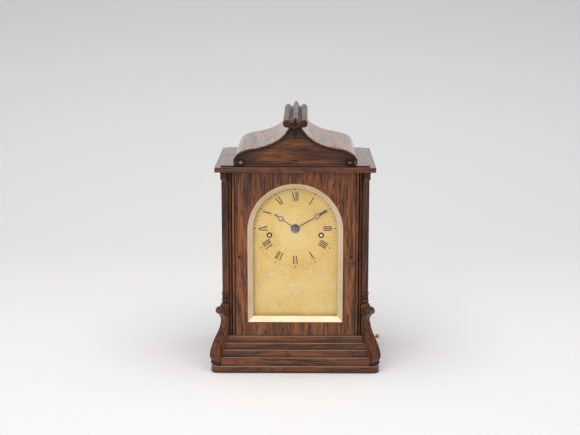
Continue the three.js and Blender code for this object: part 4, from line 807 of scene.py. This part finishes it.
def addNumerals(look):
    wax = bmesh.new()
    centreX, centreZ = look["centre"]
    inner, tall = look["numeralInner"], look["numeralOuter"] - look["numeralInner"]
    for hour, text in enumerate(hourNumerals):
        sine, cosine = math.sin(math.pi * hour / 6), math.cos(math.pi * hour / 6)

        def onDial(u, v):
            # u mm to the right of the numeral's middle line, v from its foot (0) to its head (1)
            r = inner + v * tall
            return (centreX + sine * r + cosine * u, centreZ + cosine * r - sine * u)

        left = -sum(letters[letter][0] for letter in text) / 2
        serif = -left - look["serifInset"]
        for letter in text:
            width, strokes = letters[letter]
            for u, v, endU, endV, weight in strokes:
                ends = [onDial(left + u, v), onDial(left + endU, endV)]
                ribbon(wax, ends, look[weight], look["waxLift"])
            left += width
        for v in (0.0, 1.0):
            ribbon(wax, [onDial(-serif, v), onDial(serif, v)], look["serif"], look["waxLift"])
    for minute in range(60):
        angle = math.pi * minute / 30
        disc(
            wax, centreX + look["dotRadius"] * math.sin(angle), look["face"] - look["waxLift"],
            centreZ + look["dotRadius"] * math.cos(angle),
            look["minuteDot"] if minute % 5 else look["hourDot"], look["dotSides"],
        )
    pieceFrom("waxedNumerals", wax, "dialWax")


engraving = {
    "middle": 91.0, "floor": 60.5, "top": 122.0, "halfWidth": 44.5,
    "cutWidth": 0.62, "shineWidth": 0.5, "shineOffset": 0.5, "thinEnd": 0.4,
    # stems of the right half: start, heading in radians, length, turns, hand
    "stems": [
        (2, 10, 0.9, 58, 1.2, -1), (3, -10, -0.7, 54, 1.2, 1), (9, 2, 0.25, 64, 1.4, 1),
        (20, 17, 0.5, 52, 1.3, -1), (23, -16, -0.3, 48, 1.3, 1), (30, 2, 1.0, 42, 1.2, -1),
        (38, 8, 1.4, 44, 1.3, 1), (7, 21, 1.1, 30, 1.0, -1), (8, -19, -1.2, 28, 1.0, 1),
        (36, -12, -1.2, 40, 1.3, -1), (26, 26, 0.2, 30, 1.1, 1), (14, -26, -0.2, 34, 1.2, 1),
        (40, 20, 1.7, 26, 1.0, -1), (33, -26, 0.1, 24, 1.0, 1),
    ],
    "stemSteps": 44, "stemTaper": 0.55, "curlStart": 0.35, "curlGrowth": 1.3,
    "boss": 8.0, "petals": 8, "petalShape": [(0, 0.25), (-0.29, 0.65), (0, 1.0), (0.29, 0.65), (0, 0.25)],
    "bossRings": (9.2, 10.4), "bossSteps": 48,
    # short leaf cuts along the stems: how many, how far they lean, how long
    "nicks": 120, "nickLean": (0.6, 1.1), "nickLength": (2.0, 4.2), "nickCurl": 0.5, "nickBend": 0.6,
}


def scroll(start, heading, reach, turns, hand, look):
    # a plant stem that leaves along heading and winds into a spiral
    points = [start]
    x, z = start
    angle, steps = heading, look["stemSteps"]
    for i in range(steps):
        share = i / steps
        step = reach / steps * (1 - look["stemTaper"] * share)
        angle += hand * turns * 2 * math.pi / steps * (look["curlStart"] + look["curlGrowth"] * share)
        x += step * math.cos(angle)
        z += step * math.sin(angle)
        points.append((x, z))
    return points


def engravedLines(look):
    middle, boss = look["middle"], look["boss"]
    lines = []
    for side in (-1, 1):
        for x, z, heading, reach, turns, hand in look["stems"]:
            way = heading if side > 0 else math.pi - heading
            lines.append(scroll((side * x, middle + z), way, reach, turns, hand * side, look))
    stemCount = len(lines)
    for petal in range(look["petals"]):
        a = 2 * math.pi * petal / look["petals"]
        tip = [
            (boss * math.cos(a + lean) * r, middle + boss * math.sin(a + lean) * r)
            for lean, r in look["petalShape"]
        ]
        lines += [tip[:3], tip[2:]]
    for radius in look["bossRings"]:
        ring = circle(look["bossSteps"], radius, 0, middle)
        lines.append(ring + ring[:1])
    for _ in range(look["nicks"]):
        path = lines[random.randrange(stemCount)]
        i = random.randrange(4, len(path) - 6)
        (x, z), (u, v) = path[i], path[i + 1]
        a = math.atan2(v - z, u - x) + random.choice((-1, 1)) * random.uniform(*look["nickLean"])
        n = random.uniform(*look["nickLength"])
        bend = n * look["nickBend"]
        curl = a + look["nickCurl"]
        lines.append([
            (x, z), (x + bend * math.cos(a), z + bend * math.sin(a)),
            (x + n * math.cos(curl), z + n * math.sin(curl)),
        ])
    return lines


def addEngraving(look):
    shade, shine = bmesh.new(), bmesh.new()
    for radius in dialLook["chapterRings"]:
        ring = circle(dialLook["ringSteps"], radius, *dialLook["centre"])
        ribbon(shade, ring + ring[:1], dialLook["ringWidth"], dialLook["cutLift"])
    for points in engravedLines(look):
        kept = [p for p in points if abs(p[0]) < look["halfWidth"] and look["floor"] < p[1] < look["top"]]
        if len(kept) < 3:
            continue
        # each cut is thin at its ends and swells in the middle
        thin, size = look["thinEnd"], len(kept) - 1
        swell = [thin + (1 - thin) * math.sin(math.pi * (0.1 + 0.8 * i / size)) for i in range(size + 1)]
        ribbon(shade, kept, [look["cutWidth"] * w for w in swell], dialLook["cutLift"])
        off = look["shineOffset"]
        beside = [(x + off / 2, z - off) for x, z in kept]
        ribbon(shine, beside, [look["shineWidth"] * w for w in swell], dialLook["shineLift"])
    pieceFrom("engravedScrollShade", shade, "cutShade")
    pieceFrom("engravedScrollShine", shine, "cutShine")


addNumerals(dialLook)
addEngraving(engraving)
print("dial lettered and engraved")


# ---- winding squares: bright filed steel in a near-black collet that is painted shade for the winding hole
winding = {
    "reach": 28.5, "height": 151.4,
    "collet": [  # radius and Y of its section
        (1.5, -54.3), (3.0, -54.3), (3.0, -55.3), (2.7, -55.6), (1.7, -55.5), (1.5, -55.3),
    ],
    "square": [(-56.45, 2.1), (-56.65, 2.1), (-56.75, 1.5)],  # Y and width, to the chamfered end
}


def addWinding(look):
    for side, body in ((1, "going_fusee"), (-1, "strike_fusee")):
        x, z = side * look["reach"], look["height"]
        # the collet's near-black steel is painted shade in the winding hole
        pieceFrom(body + ".collet", turnedAlongY(look["collet"], x, z), "darkSteel", body)
        cap = bmesh.new()
        corners = [
            [
                corner(cap, x + u * width / 2, y, z + v * width / 2)
                for u, v in ((-1, -1), (1, -1), (1, 1), (-1, 1))
            ]
            for y, width in look["square"]
        ]
        bridge(cap, corners, True)
        cap.faces.new(corners[-1])
        cap.faces.new(corners[0][::-1])
        bmesh.ops.recalc_face_normals(cap, faces=cap.faces)
        pieceFrom(body + ".squareEnd", cap, "brightSteel", body)


addWinding(winding)
print("winding squares in")


# ---- carving: roof rims and volutes, rosettes, finial scrolls, corbels and capitals
def smoothPath(points, steps=5):
    # Catmull-Rom through the points
    path = []
    last = len(points) - 1
    for i in range(last):
        p, q, r, w = (Vector(points[min(max(i + j, 0), last)]) for j in (-1, 0, 1, 2))
        for t in [j / steps for j in range(steps)]:
            bend = (2 * p - 5 * q + 4 * r - w) * t ** 2 + (3 * q - p - 3 * r + w) * t ** 3
            path.append(tuple(q + ((r - p) * t + bend) / 2))
    return path + [points[-1]]


roofEdge = {
    # the ogee's two curves from the neck down, as in the CAD
    "hollow": [(7.3, 272.5), (12.0, 262.1), (24.0, 254.8), (37.4, 251.7)],
    "round": [(37.4, 251.7), (50.1, 248.8), (66.9, 248.6), (66.9, 234.7)],
    "front": -69.9,
    "beadRadius": 0.62, "beadInset": 0.66, "beadFoot": 236.5, "beadSink": 0.1,
    "coveRadius": 1.0, "coveInset": 2.3, "coveFoot": 236.0, "coveSink": 0.3,
    "volute": [
        (65.8, 234.0), (64.6, 232.3), (62.5, 231.9), (58.7, 231.9), (56.1, 232.7), (55.1, 234.6),
        (55.8, 236.6), (57.6, 237.6), (59.8, 237.3), (61.3, 235.9),
    ],
    "voluteRadius": 0.85, "voluteTaper": 0.5,
}


def bezier(points, steps=16):
    a, b, c, d = (Vector(p) for p in points)
    return [
        tuple(a * (1 - t) ** 3 + b * 3 * t * (1 - t) ** 2 + c * 3 * t * t * (1 - t) + d * t ** 3)
        for t in [i / steps for i in range(steps + 1)]
    ]


def movedIn(points, distance, foot):
    # the path moved inwards, as far down as foot
    moved = []
    for i, (x, z) in enumerate(points):
        nx, nz = normalAt(points, i)
        moved.append((x - nx * distance, z - nz * distance))
    return [point for point in moved if point[1] > foot]


def addRoofEdge(look):
    ogee = bezier(look["hollow"]) + bezier(look["round"])[1:]
    bead = movedIn(ogee, look["beadInset"], look["beadFoot"])
    cove = movedIn(ogee, look["coveInset"], look["coveFoot"])
    curl = smoothPath(bead[-2:] + look["volute"])
    thinning = [look["voluteRadius"] * (1 - look["voluteTaper"] * i / len(curl)) for i in range(len(curl))]
    for side, label in bothSides:
        # the bead is the lit wood, a painted highlight; the volute and cove are the near-black wood, painted
        # shade
        for part, path, radii, sink, material in (
            ("rim", bead, look["beadRadius"], look["beadSink"], "litRimWood"),
            ("volute", curl, thinning, look["beadSink"], "paintedShadeWood"),
            ("cove", cove, look["coveRadius"], look["coveSink"], "paintedShadeWood"),
        ):
            build = bmesh.new()
            tube(build, [(side * x, look["front"] + sink, z) for x, z in path], radii)
            pieceFrom(f"{label}_roof_shell.{part}", build, material)


rosette = {
    "reach": 58.9, "height": 234.0,
    "profile": [  # radius and Y, crown first
        (0, -71.2), (0.6, -71.1), (1.05, -70.75), (1.2, -70.3), (1.0, -69.9), (0.85, -69.65),
        (1.3, -69.5), (1.9, -69.5), (2.3, -69.2), (2.5, -68.8), (2.5, -67.9), (0, -67.9),
    ],
}


def addRosettes(look):
    for side, label in bothSides:
        button = turnedAlongY(look["profile"], side * look["reach"], look["height"])
        nodeName = label + "_rosette"
        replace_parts(pieceFrom(nodeName + ".turned", button, "rosetteWood"), nodeName)


finialEnd = {
    "front": 76.8, "rollReach": 9.3, "rollHeight": 277.4,
    "scrollStart": 3.45, "scrollEnd": 1.1, "scrollFrom": -60, "turns": 1.3, "steps": 36,
    "rod": 0.6, "rodTaper": 0.35,
    "eye": [1.15, 0.575],  # radius at its root and tip
    "eyeBack": 0.4, "eyeProud": 0.8, "eyeSides": 16,
    "lobe": [(-2.4, 278.6), (-1.9, 281.4), (0, 284.4), (1.9, 281.4), (2.4, 278.6)],
    "lobeRod": 0.75, "lobeSteps": 6,
    "hollowRadius": 3.3, "hollowProud": 0.12, "lobeHollow": (277.6, 2.3), "hollowSides": 24,
}


def addFinialEnds(look):
    ends, hollows, tips = bmesh.new(), bmesh.new(), bmesh.new()
    height, steps, sides = look["rollHeight"], look["steps"], look["hollowSides"]
    rods = [look["rod"] * (1 - look["rodTaper"] * i / steps) for i in range(steps + 1)]
    lobe = smoothPath(look["lobe"], look["lobeSteps"])
    lobeHeight, lobeRadius = look["lobeHollow"]
    for direction in (-1, 1):
        y = look["front"] * direction
        proud = y + look["hollowProud"] * direction
        disc(hollows, 0, proud, lobeHeight, lobeRadius, sides)
        for side in (-1, 1):
            reach = side * look["rollReach"]
            spiral = []
            for t in [i / steps for i in range(steps + 1)]:
                r = look["scrollStart"] + (look["scrollEnd"] - look["scrollStart"]) * t
                a = math.radians(look["scrollFrom"]) + t * look["turns"] * 2 * math.pi
                spiral.append((reach + side * r * math.cos(a), y, height + r * math.sin(a)))
            disc(hollows, reach, proud, height, look["hollowRadius"], sides)
            tube(ends, spiral, rods)
            eye = [(reach, y + out * direction, height) for out in (-look["eyeBack"], look["eyeProud"])]
            tube(ends, eye, look["eye"], look["eyeSides"])
        tube(tips, [(x, y, z) for x, z in lobe], look["lobeRod"])
    # the scroll eyes are painted shade with painted glints, the lobe tips a painted highlight, and the
    # hollows are dark discs of painted shade behind the scrolls and under the lobe
    pieceFrom("ridge_finial.scrollEnds", ends, "eyeWood")
    pieceFrom("ridge_finial.lobeTips", tips, "litRimWood")
    pieceFrom("ridge_finial.scrollHollows", hollows, "paintedShadeWood")


leaf = {
    "top": 272.0, "foot": 260.5, "halfWidth": 5.0, "tipHalfWidth": 0.25, "taper": 0.7, "steps": 8,
    "across": (-1, -0.66, -0.33, -0.08, 0, 0.08, 0.33, 0.66, 1),
    "back": -67.6, "proud": 1.6, "roundness": 1.5, "thinning": 0.6,
}


def addLeaf(look):
    build = bmesh.new()
    rows = []
    for t in [i / look["steps"] for i in range(look["steps"] + 1)]:
        half = look["halfWidth"] * (1 - t) ** look["taper"] + look["tipHalfWidth"]
        z = look["top"] + (look["foot"] - look["top"]) * t
        proud = look["proud"] * (1 - look["thinning"] * t)
        rows.append([
            corner(build, u * half, look["back"] - proud * (1 - abs(u) ** look["roundness"]), z)
            for u in look["across"]
        ])
    bridge(build, rows, False)
    # the keystone leaf is in the near-black wood: painted shade under the finial
    pieceFrom("front_tympanum.leaf", build, "paintedShadeWood")


cantCarving = {
    "middle": (77.1, -64.2),  # X and Y of the cant's middle
    "halfWidth": 4.4,
    # (height, how far the roll's centre stands out, radius, half length as a share)
    "corbel": [(221.2, 1.9, 1.25, 1.0), (218.0, 1.5, 0.8, 0.86), (214.6, 0.9, 1.35, 0.74)],
    "capital": [(87.0, 0.7, 1.0, 1.08), (83.4, 0.3, 1.0, 0.8), (79.3, 0.4, 1.5, 0.95)],
    # dark rolls of painted shade: in the hollows between, and the toe under the bracket
    "hollow": [
        (219.5, 1.6, 0.9, 0.96), (216.3, 1.1, 1.0, 0.8), (85.3, 0.5, 0.9, 1.0), (81.4, 0.4, 0.95, 1.0),
        (77.2, 0.5, 0.9, 1.0), (10.45, 15.3, 2.16, 1.44),
    ],
    # each roll's outline: place along it and share of the radius
    "waisted": [
        (-1, 0.55), (-0.93, 0.9), (-0.8, 1.0), (-0.15, 0.86), (0.15, 0.86), (0.8, 1.0), (0.93, 0.9),
        (1, 0.55),
    ],
    "straight": [(-1, 0.8), (-0.97, 1.0), (0.97, 1.0), (1, 0.8)],
    "sides": 14,
}


def addCantCarving(look):
    middleX, middleY = look["middle"]
    for side, label in bothSides:
        out = Vector((side, -1, 0)).normalized()
        across = Vector((1, side, 0)).normalized()
        for part, rolls, outline, material in (
            ("carving", look["corbel"] + look["capital"], look["waisted"], "bracketWood"),
            ("hollows", look["hollow"], look["straight"], "paintedShadeWood"),
        ):
            build = bmesh.new()
            for height, proud, radius, share in rolls:
                middle = Vector((side * middleX, middleY, height)) + out * proud
                half = look["halfWidth"] * share
                points = [middle + across * half * u for u, _ in outline]
                tube(build, points, [radius * w for _, w in outline], look["sides"])
            pieceFrom(f"{label}_corner_post.{part}", build, material)


keyholes = {
    "reach": 61.7, "height": 129.0, "bore": 0.85, "sides": 24,
    "back": -67.3, "face": -67.75, "rim": [(1.45, -67.3), (1.45, -67.85), (1.25, -68.0)],
}


def addKeyholes(look):
    body = nodes["front_door"]["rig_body"]
    for side, bore, part in ((-1, 0.0, "plug"), (1, look["bore"], "keyholeEye")):
        section = [(bore, look["back"]), *look["rim"], (bore, look["face"])]
        ring = turnedAlongY(section, side * look["reach"], look["height"], look["sides"])
        # the keyholes' near-black wood is painted shade for their depth
        pieceFrom("front_door." + part, ring, "paintedShadeWood", body)


pullKnob = {
    "place": (-7.3, 21.2),  # Y and Z of its rod
    "profile": [
        # (radius, X) from the rod's inner end to the knob's crown
        (0.0, 56.1), (1.1, 56.1), (1.1, 92.4), (1.7, 92.4), (1.78, 92.9), (1.5, 93.15), (1.25, 93.4),
        (1.5, 93.8), (2.35, 94.4), (2.64, 95.0), (2.7, 95.6), (2.58, 96.3), (2.2, 96.9), (1.6, 97.35),
        (0.9, 97.65), (0.0, 97.8),
    ],
    "sides": 48,
}


def addPullKnob(look):
    y, z = look["place"]
    build = turnedAlongY(look["profile"], 0.0, 0.0, look["sides"])
    # the lathe turns round Y; lay its work along X at the knob's place
    for vert in build.verts:
        a, b, c = vert.co
        vert.co = (b, y * mm + a, z * mm + c)
    bmesh.ops.recalc_face_normals(build, faces=build.faces)
    body = nodes["repeat_knob"]["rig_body"]
    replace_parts(pieceFrom("repeat_knob.turned", build, "knobBrass", body), "repeat_knob")


addRoofEdge(roofEdge)
addRosettes(rosette)
addFinialEnds(finialEnd)
addLeaf(leaf)
addCantCarving(cantCarving)
addKeyholes(keyholes)
addPullKnob(pullKnob)
print("carving and turned pieces in")
